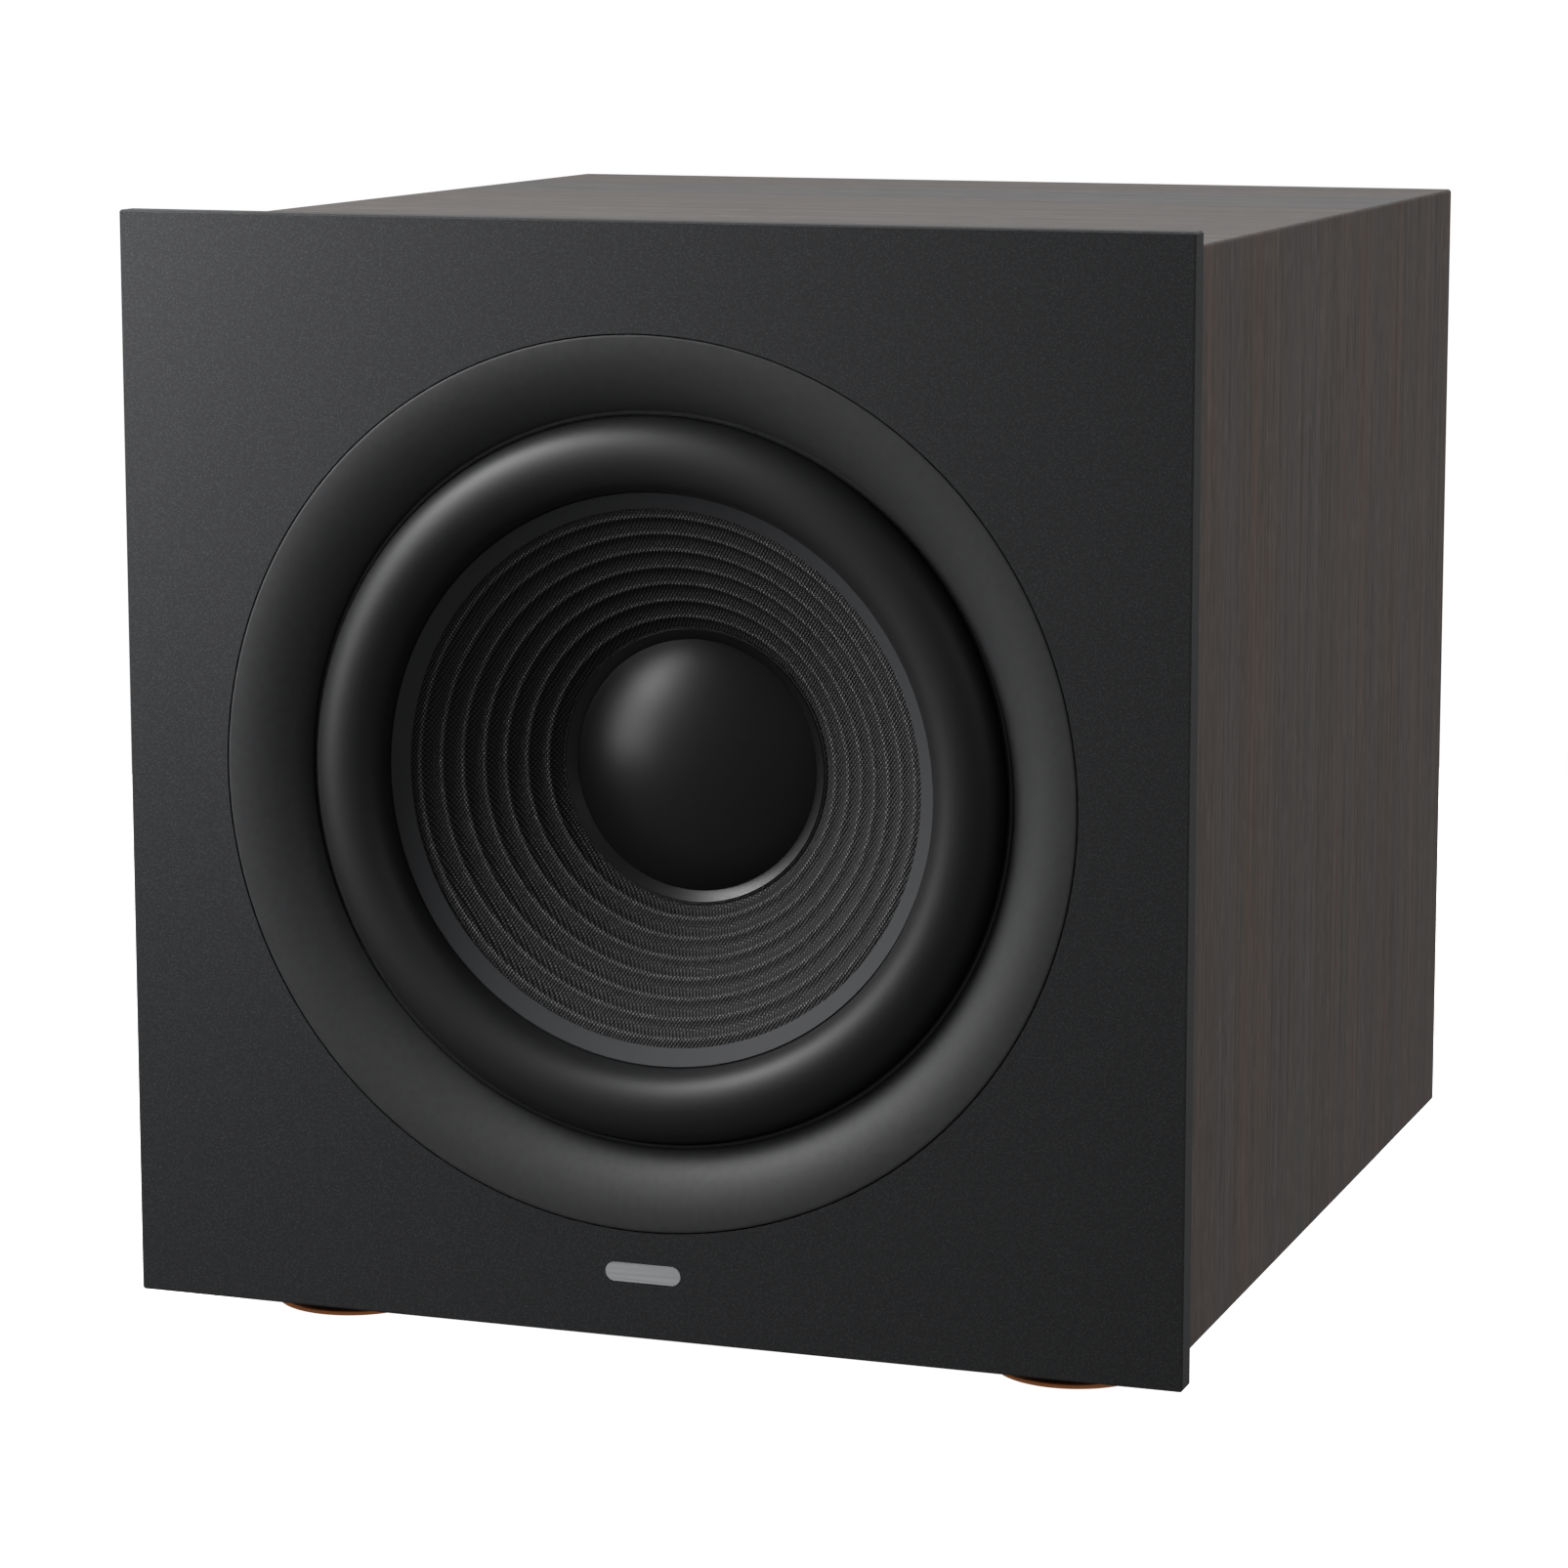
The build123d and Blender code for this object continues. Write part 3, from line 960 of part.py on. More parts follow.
def heat_sink():
    """A finned aluminium bar on the outside of the plate."""
    x, z = on_plate(SINK_PLACE)
    base = AMP_OUTER_Y + SINK_BASE
    sink = block(SINK_WIDTH, SINK_HEIGHT, AMP_OUTER_Y, base, x, z)
    pitch = (SINK_WIDTH - SINK_FIN) / (SINK_FINS - 1)
    for i in range(SINK_FINS):
        sink += block(SINK_FIN, SINK_HEIGHT, base, base + SINK_FIN_LENGTH,
                      x - SINK_WIDTH / 2 + SINK_FIN / 2 + i * pitch, z)
    return sink


def amp_screws():
    return together([Pos(across, AMP_OUTER_Y, AMP_Z + up) * screw(AMP_SCREW_LENGTH, True)
                     for across, up in amp_screw_places()])


# ---- All pieces ----
def all_pieces():
    pieces = {
        "front_plate": front_plate(), "badge": badge(), "inner_baffle": inner_baffle(),
        "window_brace": window_brace(), "rear_panel": rear_panel(), "trim_ring": trim_ring(),
        "step_ring": step_ring(), "surround": surround(), "cone": cone(),
        "dust_cap_ring": dust_cap_ring(), "dust_cap": dust_cap(), "spider": spider(),
        "woofer_basket": woofer_basket(), "woofer_gasket": woofer_gasket(),
        "woofer_screws": woofer_screws(), "terminal_strip": terminal_strip(),
        "speaker_leads": speaker_leads(), "amp_plate": amp_plate(), "amp_gasket": amp_gasket(),
        "amp_enclosure": amp_enclosure(), "status_led": status_led(), "heat_sink": heat_sink(),
        "amp_screws": amp_screws(),
    }
    for group in (wrapped_panels(), feet(), voice_coil(), motor(), port(), electronics(),
                  mains_switch(), mains_inlet(), input_jacks()):
        pieces.update(group)
    pots, bodies = [], []
    for name, place in (("gain", GAIN_PLACE), ("crossover", CROSSOVER_PLACE)):
        knob, shaft, pot = rotary_control(place)
        pieces[f"{name}_knob"], pieces[f"{name}_shaft"] = knob, shaft
        pots.append(pot)
    for name, place in (("phase", PHASE_PLACE), ("mode", MODE_PLACE)):
        body, pieces[f"{name}_lever"] = slide_switch(place)
        bodies.append(body)
    pieces["control_pots"] = together(pots)
    pieces["slide_switch_bodies"] = together(bodies)
    return pieces


os.makedirs("parts", exist_ok=True)
for node, shape in all_pieces().items():
    export_step(shape, f"parts/{node}.step")
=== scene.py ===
"""The looks of a powered subwoofer: a wood-wrapped cabinet, its woofer, port, plate amplifier and feet."""

import logging
import math
from dataclasses import dataclass, field
from enum import Enum
from typing import Any, Sequence

import bmesh
import bpy
import numpy as np
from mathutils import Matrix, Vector


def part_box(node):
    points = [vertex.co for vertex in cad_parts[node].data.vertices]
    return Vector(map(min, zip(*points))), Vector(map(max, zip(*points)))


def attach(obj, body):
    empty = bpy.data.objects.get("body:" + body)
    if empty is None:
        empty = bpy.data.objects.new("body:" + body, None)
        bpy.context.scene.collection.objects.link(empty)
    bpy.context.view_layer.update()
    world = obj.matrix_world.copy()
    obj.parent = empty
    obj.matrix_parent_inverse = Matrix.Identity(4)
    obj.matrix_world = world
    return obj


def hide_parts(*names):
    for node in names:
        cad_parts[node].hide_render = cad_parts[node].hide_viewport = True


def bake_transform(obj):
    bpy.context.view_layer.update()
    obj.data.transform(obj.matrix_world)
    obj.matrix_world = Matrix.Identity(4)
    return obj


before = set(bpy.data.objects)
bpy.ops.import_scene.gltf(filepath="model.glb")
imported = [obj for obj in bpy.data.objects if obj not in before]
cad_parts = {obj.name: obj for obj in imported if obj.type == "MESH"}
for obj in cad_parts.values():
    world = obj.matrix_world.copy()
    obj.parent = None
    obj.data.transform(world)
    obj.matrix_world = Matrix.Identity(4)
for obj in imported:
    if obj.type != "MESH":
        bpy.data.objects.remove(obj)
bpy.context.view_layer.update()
MM = 0.001
LOG = logging.getLogger("subwoofer")

WOOFER_HEIGHT = 0.1855      # of the woofer's middle line over the floor, in metres
RIDGE_CREST = 0.0817        # radius of the cone's outermost ridge
RIDGE_PITCH = 0.00563       # from one ridge of the cone to the next, along the radius

Colour = tuple[float, float, float]
Place = tuple[float, float, float]


# ---------------------------------------------------------------- shader building


class Wire:
    """A shader socket that adds a Math node when it is used in an expression."""

    def __init__(self, graph: "ShaderGraph", socket: bpy.types.NodeSocket) -> None:
        """Keeps the graph and the output socket that the expression reads."""
        self.graph = graph
        self.socket = socket

    def _with(self, operation: str, first: Any, second: Any) -> "Wire":
        """Adds one Math node.

        Args:
            operation: the Math node's operation.
            first: a wire or a number.
            second: a wire or a number.

        Returns:
            The node's result.
        """
        return self.graph.add("ShaderNodeMath", {"operation": operation}, {0: first, 1: second})

    def __add__(self, other: Any) -> "Wire":
        """Sum."""
        return self._with("ADD", self, other)

    def __radd__(self, other: Any) -> "Wire":
        """Sum with a number on the left."""
        return self._with("ADD", other, self)

    def __sub__(self, other: Any) -> "Wire":
        """Difference."""
        return self._with("SUBTRACT", self, other)

    def __rsub__(self, other: Any) -> "Wire":
        """Difference from a number on the left."""
        return self._with("SUBTRACT", other, self)

    def __mul__(self, other: Any) -> "Wire":
        """Product."""
        return self._with("MULTIPLY", self, other)

    def __rmul__(self, other: Any) -> "Wire":
        """Product with a number on the left."""
        return self._with("MULTIPLY", other, self)

    def __pow__(self, other: Any) -> "Wire":
        """Power."""
        return self._with("POWER", self, other)

    def above(self, limit: float) -> "Wire":
        """1 where the value is over the limit, else 0."""
        return self._with("GREATER_THAN", self, limit)

    def sine(self) -> "Wire":
        """Sine of the value in radians."""
        return self._with("SINE", self, 0.0)

    def size(self) -> "Wire":
        """The value without its sign."""
        return self._with("ABSOLUTE", self, 0.0)

    def ramp(self, low: float, high: float) -> "Wire":
        """The value carried from low..high to 0..1 and held there."""
        return self.graph.add("ShaderNodeMapRange", {"clamp": True},
                              {"Value": self, "From Min": low, "From Max": high})


class ShaderGraph:
    """The node tree of one material or world, built node by node."""

    def __init__(self, tree: bpy.types.NodeTree) -> None:
        """Empties the tree.

        Args:
            tree: the node tree to build in.
        """
        self.tree = tree
        tree.nodes.clear()

    def node(self, kind: str, settings: dict[str, Any], inputs: dict[Any, Any]) -> bpy.types.Node:
        """Adds a node of any kind.

        Args:
            kind: the node's type.
            settings: the node's own properties, which are set first.
            inputs: values or wires for its sockets, by name or number.

        Returns:
            The node.
        """
        made = self.tree.nodes.new(kind)
        for name, value in settings.items():
            setattr(made, name, value)
        for key, value in inputs.items():
            if isinstance(value, Wire):
                self.tree.links.new(value.socket, made.inputs[key])
            else:
                made.inputs[key].default_value = value
        return made

    def add(self, kind: str, settings: dict[str, Any], inputs: dict[Any, Any], output: Any = 0) -> Wire:
        """Adds a node and returns one of its outputs as a wire."""
        return Wire(self, self.node(kind, settings, inputs).outputs[output])

    def place(self) -> Wire:
        """The point's own coordinates in metres."""
        return self.add("ShaderNodeTexCoord", {}, {}, "Object")

    def scaled(self, vector: Wire, scale: Place) -> Wire:
        """The vector with each part multiplied."""
        return self.add("ShaderNodeVectorMath", {"operation": "MULTIPLY"}, {0: vector, 1: scale})

    def parts(self, vector: Wire) -> tuple[Wire, Wire, Wire]:
        """The vector's three parts."""
        made = self.node("ShaderNodeSeparateXYZ", {}, {0: vector})
        return tuple(Wire(self, made.outputs[i]) for i in range(3))

    def noise(self, vector: Wire, scale: float, detail: float = 2.0, roughness: float = 0.5) -> Wire:
        """Smooth random value, near 0.5.

        Args:
            vector: where it is read.
            scale: waves a metre.
            detail: how many finer layers are added.
            roughness: how strong the finer layers are.

        Returns:
            The value.
        """
        return self.add("ShaderNodeTexNoise", {}, {"Vector": vector, "Scale": scale, "Detail": detail,
                                                   "Roughness": roughness})

    def cells(self, vector: Wire, scale: float) -> Wire:
        """Distance to the nearest of scattered points."""
        return self.add("ShaderNodeTexVoronoi", {}, {"Vector": vector, "Scale": scale})

    def mix(self, amount: Any, first: Any, second: Any) -> Wire:
        """Colour between first and second."""
        made = self.node("ShaderNodeMix", {"data_type": "RGBA"}, {"Factor": amount, 6: opaque(first),
                                                                   7: opaque(second)})
        return Wire(self, made.outputs[2])

    def bump(self, height: Wire, depth: float, under: Wire | None = None) -> Wire:
        """Normal of a relief.

        Args:
            height: the relief, from 0 to 1.
            depth: how high 1 stands, in metres.
            under: a coarser normal that it lies on.

        Returns:
            The normal.
        """
        inputs = {"Height": height, "Distance": depth, "Strength": 1.0}
        if under is not None:
            inputs["Normal"] = under
        return self.add("ShaderNodeBump", {}, inputs)


def opaque(colour: Any) -> Any:
    """A colour with alpha 1, or the wire as it is."""
    return colour if isinstance(colour, Wire) else (*colour, 1.0)


def shade(colour: Colour, share: float) -> Colour:
    """The colour with each part multiplied."""
    return tuple(part * share for part in colour)


def from_middle(x: Wire, z: Wire, middle: float) -> Wire:
    """Distance from the line that runs along Y at X = 0 and the height `middle`."""
    return (x * x + (z - middle) * (z - middle)) ** 0.5


# ---------------------------------------------------------------- finishes


@dataclass(frozen=True)
class Finish:
    """A finish: the shader numbers that are the same all over, and what varies.

    Attributes:
        name: the material's name.
        colour: base colour, linear.
        roughness: mean roughness.
        metallic: 1 for bare metal.
        specular: specular level of a non-metal.
        coat: weight of a clear coat.
        grain: size in metres of the fine surface grain.
        relief: height in metres of that grain.
        mottle: how far the colour wanders, as a share.
    """

    name: str
    colour: Colour
    roughness: float = 0.5
    metallic: float = 0.0
    specular: float = 0.5
    coat: float = 0.0
    grain: float = 0.0008
    relief: float = 0.00001
    mottle: float = 0.12

    def paint(self, graph: ShaderGraph) -> dict[str, Wire]:
        """Varies colour, roughness and fine relief as a moulded or cast surface does.

        Args:
            graph: the material's graph.

        Returns:
            Shader input names and the wires that feed them.
        """
        place = graph.place()
        cloud = graph.noise(place, 0.25 / self.grain, 3.0)
        fine = graph.noise(place, 1.0 / self.grain, 2.0)
        dark = shade(self.colour, 1 - self.mottle)
        light = shade(self.colour, 1 + self.mottle)
        return {
            "Base Color": graph.mix(cloud.ramp(0.3, 0.7), dark, light),
            "Roughness": self.roughness + (fine - 0.5) * 0.16,
            "Normal": graph.bump(fine, self.relief),
        }

    def material(self) -> bpy.types.Material:
        """The material of this finish, made once. Its name differs from the CAD slots' own materials.

        Returns:
            The material.
        """
        name = f"{self.name}_look"
        known = bpy.data.materials.get(name)
        if known is not None:
            return known
        made = bpy.data.materials.new(name)
        made.use_nodes = True
        graph = ShaderGraph(made.node_tree)
        fixed = {"Metallic": self.metallic, "Specular IOR Level": self.specular, "Coat Weight": self.coat}
        shader = graph.add("ShaderNodeBsdfPrincipled", {}, {**fixed, **self.paint(graph)})
        graph.node("ShaderNodeOutputMaterial", {}, {"Surface": shader})
        made.diffuse_color = opaque(self.colour)
        return made

    def dress(self, *nodes: str) -> None:
        """Gives CAD nodes this finish.

        Args:
            nodes: names of the nodes.
        """
        for name in nodes:
            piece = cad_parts[name]
            if not piece.material_slots:
                piece.data.materials.append(None)
            for slot in piece.material_slots:
                slot.material = self.material()


@dataclass(frozen=True)
class TexturedPaint(Finish):
    """Fine pebbled black paint, with a painted glint on the grains' tops.

    Attributes:
        painted_glint: colour of the painted glint on the grains' tops.
    """

    painted_glint: Colour = (0.05, 0.053, 0.058)

    def paint(self, graph: ShaderGraph) -> dict[str, Wire]:
        """Pebbles from cells and noise; their tops are smoother and painted lighter, a painted glint.

        Args:
            graph: the material's graph.

        Returns:
            Shader input names and the wires that feed them.
        """
        place = graph.place()
        pebble = 1 - graph.cells(place, 1.0 / self.grain).ramp(0.0, 0.9)
        fleck = graph.noise(place, 1.7 / self.grain, 2.0)
        height = pebble * 0.6 + fleck * 0.4
        # the pebbles' tops, which take the painted glint
        tops = (pebble * fleck).ramp(0.22, 0.62)
        return {
            "Base Color": graph.mix(tops, self.colour, self.painted_glint),
            "Roughness": self.roughness - tops * 0.1,
            "Normal": graph.bump(height, self.relief),
        }


@dataclass(frozen=True)
class WovenCone(Finish):
    """Dark woven fibre cone: a plain cloth of round threads pressed over ridges.

    Attributes:
        thread: colour of the painted sheen on the threads' tops, which is strongest on the ridges' crests.
        across: pitch of the threads along X, in metres.
        upward: pitch along Z, in metres.
        middle: height of the cone's middle line.
        crest: radius of the outermost ridge.
        pitch: from one ridge to the next.
    """

    thread: Colour = (0.34, 0.34, 0.345)
    across: float = 0.00115
    upward: float = 0.0017
    middle: float = WOOFER_HEIGHT
    crest: float = RIDGE_CREST
    pitch: float = RIDGE_PITCH

    def paint(self, graph: ShaderGraph) -> dict[str, Wire]:
        """Product of two sine waves, one across and one upward: knots in staggered rows.

        The threads' tops are painted lighter, a painted sheen that is strongest on the ridges, where |sin(pi
        (crest - radius) / pitch)| is near 0, and whose strength wanders with noise.

        Args:
            graph: the material's graph.

        Returns:
            Shader input names and the wires that feed them.
        """
        x, _, z = graph.parts(graph.place())
        knots = (x * (2 * math.pi / self.across)).sine() * (z * (2 * math.pi / self.upward)).sine()
        # noise that varies the strength of the painted sheen
        sheen_noise = graph.noise(graph.place(), 420.0, 3.0)
        radius = from_middle(x, z, self.middle)
        ridge = 1 - ((self.crest - radius) * (math.pi / self.pitch)).sine().size().ramp(0.0, 0.45)
        tops = knots.ramp(-0.15, 0.85)
        # painted sheen: the threads' tops lighter, most on the ridges' crests
        painted_sheen = tops * (0.15 + ridge * 0.8) * (0.5 + sheen_noise)
        return {
            "Base Color": graph.mix(painted_sheen.ramp(0.0, 1.0), self.colour, self.thread),
            "Roughness": self.roughness + (1 - tops) * 0.2,
            "Normal": graph.bump(knots.ramp(-0.75, 0.75), self.relief),
        }


@dataclass(frozen=True)
class SurroundRubber(Finish):
    """Black rubber, satin on the roll and matt on the lip that is glued to the cone.

    Attributes:
        middle: height of the woofer's middle line.
        lip: radius inside which it is matt.
        matt: roughness of the lip.
    """

    middle: float = WOOFER_HEIGHT
    lip: float = 0.0892
    matt: float = 0.72

    def paint(self, graph: ShaderGraph) -> dict[str, Wire]:
        """Fine noise; the roughness steps up inside the lip's radius.

        Args:
            graph: the material's graph.

        Returns:
            Shader input names and the wires that feed them.
        """
        place = graph.place()
        x, _, z = graph.parts(place)
        radius = from_middle(x, z, self.middle)
        on_lip = 1 - radius.above(self.lip)
        fine = graph.noise(place, 1.0 / self.grain, 2.0)
        dark = shade(self.colour, 1 - self.mottle)
        pale = shade(self.colour, 4.6)
        return {
            "Base Color": graph.mix(fine.ramp(0.3, 0.7) * 0.12 + on_lip * 0.8, dark, pale),
            "Roughness": self.roughness + on_lip * (self.matt - self.roughness) + (fine - 0.5) * 0.12,
            "Normal": graph.bump(fine, self.relief),
        }


class GrainRun(Enum):
    """Which way the wood's grain runs, as the scale of (X, Y, Z)."""

    UPRIGHT = (1.0, 1.0, 0.012)
    LEVEL = (0.012, 0.35, 1.0)


@dataclass(frozen=True)
class WoodWrap(Finish):
    """Dark espresso wood-grain wrap over board, with black painted back edges.

    Attributes:
        run: which way the grain runs.
        warm: colour of the reddish streaks.
        cool: colour of the grey streaks.
        back: place along Y past which the edge is painted.
        edge_paint: colour of that edge.
    """

    run: GrainRun = GrainRun.UPRIGHT
    warm: Colour = (0.088, 0.058, 0.045)
    cool: Colour = (0.060, 0.061, 0.064)
    back: float = 1.0
    edge_paint: Colour = (0.012, 0.012, 0.012)

    def paint(self, graph: ShaderGraph) -> dict[str, Wire]:
        """Broad streaks, bands, fine lines and pores, all long along the grain.

        Args:
            graph: the material's graph.

        Returns:
            Shader input names and the wires that feed them.
        """
        place = graph.place()
        along = graph.scaled(place, self.run.value)
        sway = graph.noise(place, 6.0, 1.0) * 0.004
        offset = graph.add("ShaderNodeCombineXYZ", {}, {0: sway, 1: sway, 2: sway})
        wavy = graph.add("ShaderNodeVectorMath", {"operation": "ADD"}, {0: along, 1: offset})
        broad = graph.noise(wavy, 26.0, 2.0, 0.55)
        band = graph.noise(wavy, 110.0, 3.0, 0.6)
        line = graph.noise(wavy, 700.0, 3.0, 0.65)
        shorter = tuple(max(part, 0.08) for part in self.run.value)
        pore = graph.noise(graph.scaled(place, shorter), 1500.0, 2.0)
        tone = graph.mix(broad.ramp(0.30, 0.70), self.warm, self.cool)
        tone = graph.mix(band.ramp(0.38, 0.66) * 0.55, tone, shade(self.colour, 0.62))
        tone = graph.mix(line.ramp(0.44, 0.66) * 0.8, tone, shade(self.colour, 0.38))
        tone = graph.mix(pore.ramp(0.50, 0.70) * 0.35, tone, shade(self.colour, 2.5))
        _, y, _ = graph.parts(place)
        edge = y.above(self.back)
        return {
            "Base Color": graph.mix(edge, tone, self.edge_paint),
            "Roughness": self.roughness + (line - 0.5) * 0.2 + edge * 0.1,
            "Normal": graph.bump(line * 0.6 + pore * 0.4, self.relief),
        }


@dataclass(frozen=True)
class BrushedMetal(Finish):
    """Metal brushed in fine straight lines along X."""

    def paint(self, graph: ShaderGraph) -> dict[str, Wire]:
        """Noise drawn out a hundred times along X.

        Args:
            graph: the material's graph.

        Returns:
            Shader input names and the wires that feed them.
        """
        place = graph.place()
        lines = graph.noise(graph.scaled(place, (0.01, 1.0, 1.0)), 1.0 / self.grain, 3.0, 0.6)
        light = tuple(min(1.0, part * 1.15) for part in self.colour)
        dark = shade(self.colour, 0.8)
        return {
            "Base Color": graph.mix(lines.ramp(0.3, 0.7), dark, light),
            "Roughness": self.roughness + (lines - 0.5) * 0.3,
            "Normal": graph.bump(lines, self.relief),
        }


@dataclass(frozen=True)
class FibreBoard(Finish):
    """Raw pressed fibreboard."""

    def paint(self, graph: ShaderGraph) -> dict[str, Wire]:
        """Short fibres in two sizes of noise.

        Args:
            graph: the material's graph.

        Returns:
            Shader input names and the wires that feed them.
        """
        place = graph.place()
        fibre = graph.noise(place, 700.0, 4.0, 0.7)
        patch = graph.noise(place, 40.0, 2.0)
        dark = shade(self.colour, 0.6)
        return {
            "Base Color": graph.mix(fibre.ramp(0.35, 0.65) * 0.7 + patch * 0.3, dark, self.colour),
            "Roughness": self.roughness + (fibre - 0.5) * 0.1,
            "Normal": graph.bump(fibre, self.relief),
        }


@dataclass(frozen=True)
class CopperWire(Finish):
    """Lacquered copper wire wound round Y.

    Attributes:
        pitch: one turn of the winding, in metres.
    """

    pitch: float = 0.0005

    def paint(self, graph: ShaderGraph) -> dict[str, Wire]:
        """A round wave along Y for the turns; the colour falls to 0.3 of the copper between the turns, a
        painted shade in the grooves between the wires.

        Args:
            graph: the material's graph.

        Returns:
            Shader input names and the wires that feed them.
        """
        _, y, _ = graph.parts(graph.place())
        turns = (y * (math.pi / self.pitch)).sine().size()
        # painted shade: darker in the grooves between the turns
        return {
            "Base Color": graph.mix(turns, shade(self.colour, 0.3), self.colour),
            "Roughness": self.roughness + (1 - turns) * 0.3,
            "Normal": graph.bump(turns, self.relief),
        }


@dataclass(frozen=True)
class SpiderCloth(Finish):
    """Amber resin-stiffened cotton, in a square weave.

    Attributes:
        pitch: from one thread to the next, in metres.
    """

    pitch: float = 0.0011

    def paint(self, graph: ShaderGraph) -> dict[str, Wire]:
        """Sine weave over X and Z, with stains from noise.

        Args:
            graph: the material's graph.

        Returns:
            Shader input names and the wires that feed them.
        """
        place = graph.place()
        x, _, z = graph.parts(place)
        wave = math.pi / self.pitch
        weave = ((x * wave).sine().size() + (z * wave).sine().size()) * 0.5
        stain = graph.noise(place, 60.0, 3.0)
        dark = shade(self.colour, 0.45)
        return {
            "Base Color": graph.mix(weave * 0.6 + stain * 0.4, dark, self.colour),
            "Roughness": self.roughness + (stain - 0.5) * 0.2,
            "Normal": graph.bump(weave, self.relief),
        }


PLATE_PAINT = TexturedPaint("plate_paint", (0.030, 0.0308, 0.0326), 0.45, specular=0.27, grain=0.00065,
                            relief=0.00004, painted_glint=(0.076, 0.078, 0.083))
RING_MOULDING = Finish("ring_moulding", (0.034, 0.0347, 0.0365), 0.55, grain=0.0006, relief=0.000004)
BADGE_METAL = BrushedMetal("badge_metal", (0.52, 0.53, 0.54), 0.38, metallic=0.1, grain=0.0003,
                           relief=0.000004)
SATIN_RUBBER = SurroundRubber("satin_rubber", (0.010, 0.0103, 0.0112), 0.50, grain=0.0005, relief=0.000005)
STEP_SATIN = Finish("step_satin", (0.03, 0.031, 0.033), 0.3, grain=0.0006, relief=0.000002)
CONE_WEAVE = WovenCone("cone_weave", (0.003, 0.003, 0.0034), 0.40, relief=0.0004)
CAP_SATIN = Finish("cap_satin", (0.008, 0.008, 0.0088), 0.36, grain=0.0005, relief=0.000004)
GLUE_BEAD = Finish("glue_bead", (0.03, 0.03, 0.032), 0.18, grain=0.0012, relief=0.0002)
COPPER = Finish("foot_copper", (0.95, 0.36, 0.14), 0.42, metallic=1.0, grain=0.0005, relief=0.000003,
                mottle=0.06)
FOOT_PLASTIC = Finish("foot_plastic", (0.02, 0.02, 0.02), 0.42, relief=0.000006)
FOOT_RUBBER = Finish("foot_rubber", (0.03, 0.03, 0.03), 0.75, relief=0.00002)
RAW_BOARD = FibreBoard("raw_board", (0.36, 0.24, 0.14), 0.85, relief=0.00008)
REAR_PAINT = TexturedPaint("rear_paint", (0.011, 0.011, 0.012), 0.62, grain=0.0009, relief=0.0001,
                           painted_glint=(0.03, 0.03, 0.032))
CAST_FRAME = Finish("cast_frame", (0.02, 0.02, 0.021), 0.55, relief=0.00004, grain=0.0012)
FOAM = Finish("foam", (0.02, 0.02, 0.02), 0.95, relief=0.0002, grain=0.0009)
SPIDER_CLOTH = SpiderCloth("spider_cloth", (0.42, 0.22, 0.07), 0.8, relief=0.0001)
FORMER_METAL = BrushedMetal("former_metal", (0.75, 0.75, 0.76), 0.3, metallic=1.0, relief=0.000005)
WINDING = CopperWire("winding_copper", (0.70, 0.26, 0.11), 0.3, metallic=1.0, relief=0.0002)
ZINC = Finish("zinc_steel", (0.55, 0.56, 0.57), 0.34, metallic=1.0, relief=0.00001, mottle=0.08)
FERRITE = Finish("ferrite", (0.045, 0.045, 0.048), 0.6, relief=0.00004, grain=0.0015)
BLACK_SCREW = Finish("black_screw", (0.03, 0.03, 0.03), 0.36, metallic=1.0, relief=0.000006)
PHENOLIC = Finish("phenolic", (0.20, 0.08, 0.03), 0.5, relief=0.00001)
LEAD_SHEATH = Finish("lead_sheath", (0.35, 0.03, 0.02), 0.45, relief=0.00001)
PORT_PLASTIC = Finish("port_plastic", (0.014, 0.014, 0.015), 0.45, relief=0.000012)
AMP_PAINT = TexturedPaint("amp_paint", (0.013, 0.013, 0.014), 0.48, grain=0.0007, relief=0.00006,
                          painted_glint=(0.04, 0.04, 0.042))
CIRCUIT_BOARD = Finish("circuit_board", (0.01, 0.09, 0.03), 0.35, coat=0.4, relief=0.000006)
TRANSFORMER_IRON = BrushedMetal("transformer_iron", (0.20, 0.19, 0.18), 0.45, metallic=1.0, relief=0.00003)
CAPACITOR_CAN = Finish("capacitor_can", (0.015, 0.02, 0.05), 0.32, relief=0.000004)
KNOB_PLASTIC = Finish("knob_plastic", (0.018, 0.018, 0.019), 0.40, relief=0.000006)
SWITCH_PLASTIC = Finish("switch_plastic", (0.016, 0.016, 0.017), 0.38, relief=0.000005)
LEVER_PLASTIC = Finish("lever_plastic", (0.5, 0.5, 0.5), 0.4, relief=0.000005)
JACK_NICKEL = Finish("jack_nickel", (0.66, 0.62, 0.55), 0.2, metallic=1.0, relief=0.000002, mottle=0.05)
JACK_INSULATOR = Finish("jack_insulator", (0.65, 0.65, 0.62), 0.4, relief=0.000005)
LED_LENS = Finish("led_lens", (0.05, 0.35, 0.10), 0.12, coat=0.8, relief=0.000001)
SINK_ALUMINIUM = BrushedMetal("sink_aluminium", (0.05, 0.05, 0.052), 0.42, metallic=1.0, relief=0.00001)
MARK_PAINT = Finish("mark_paint", (0.7, 0.7, 0.7), 0.5, relief=0.000002, mottle=0.04)
FUSE_PLASTIC = Finish("fuse_plastic", (0.02, 0.02, 0.02), 0.4, relief=0.000005)


# ---------------------------------------------------------------- surfaces


class Heading(Enum):
    """Which way a turned piece's depth runs."""

    BACKWARD = "along +Y"
    UPWARD = "along +Z"


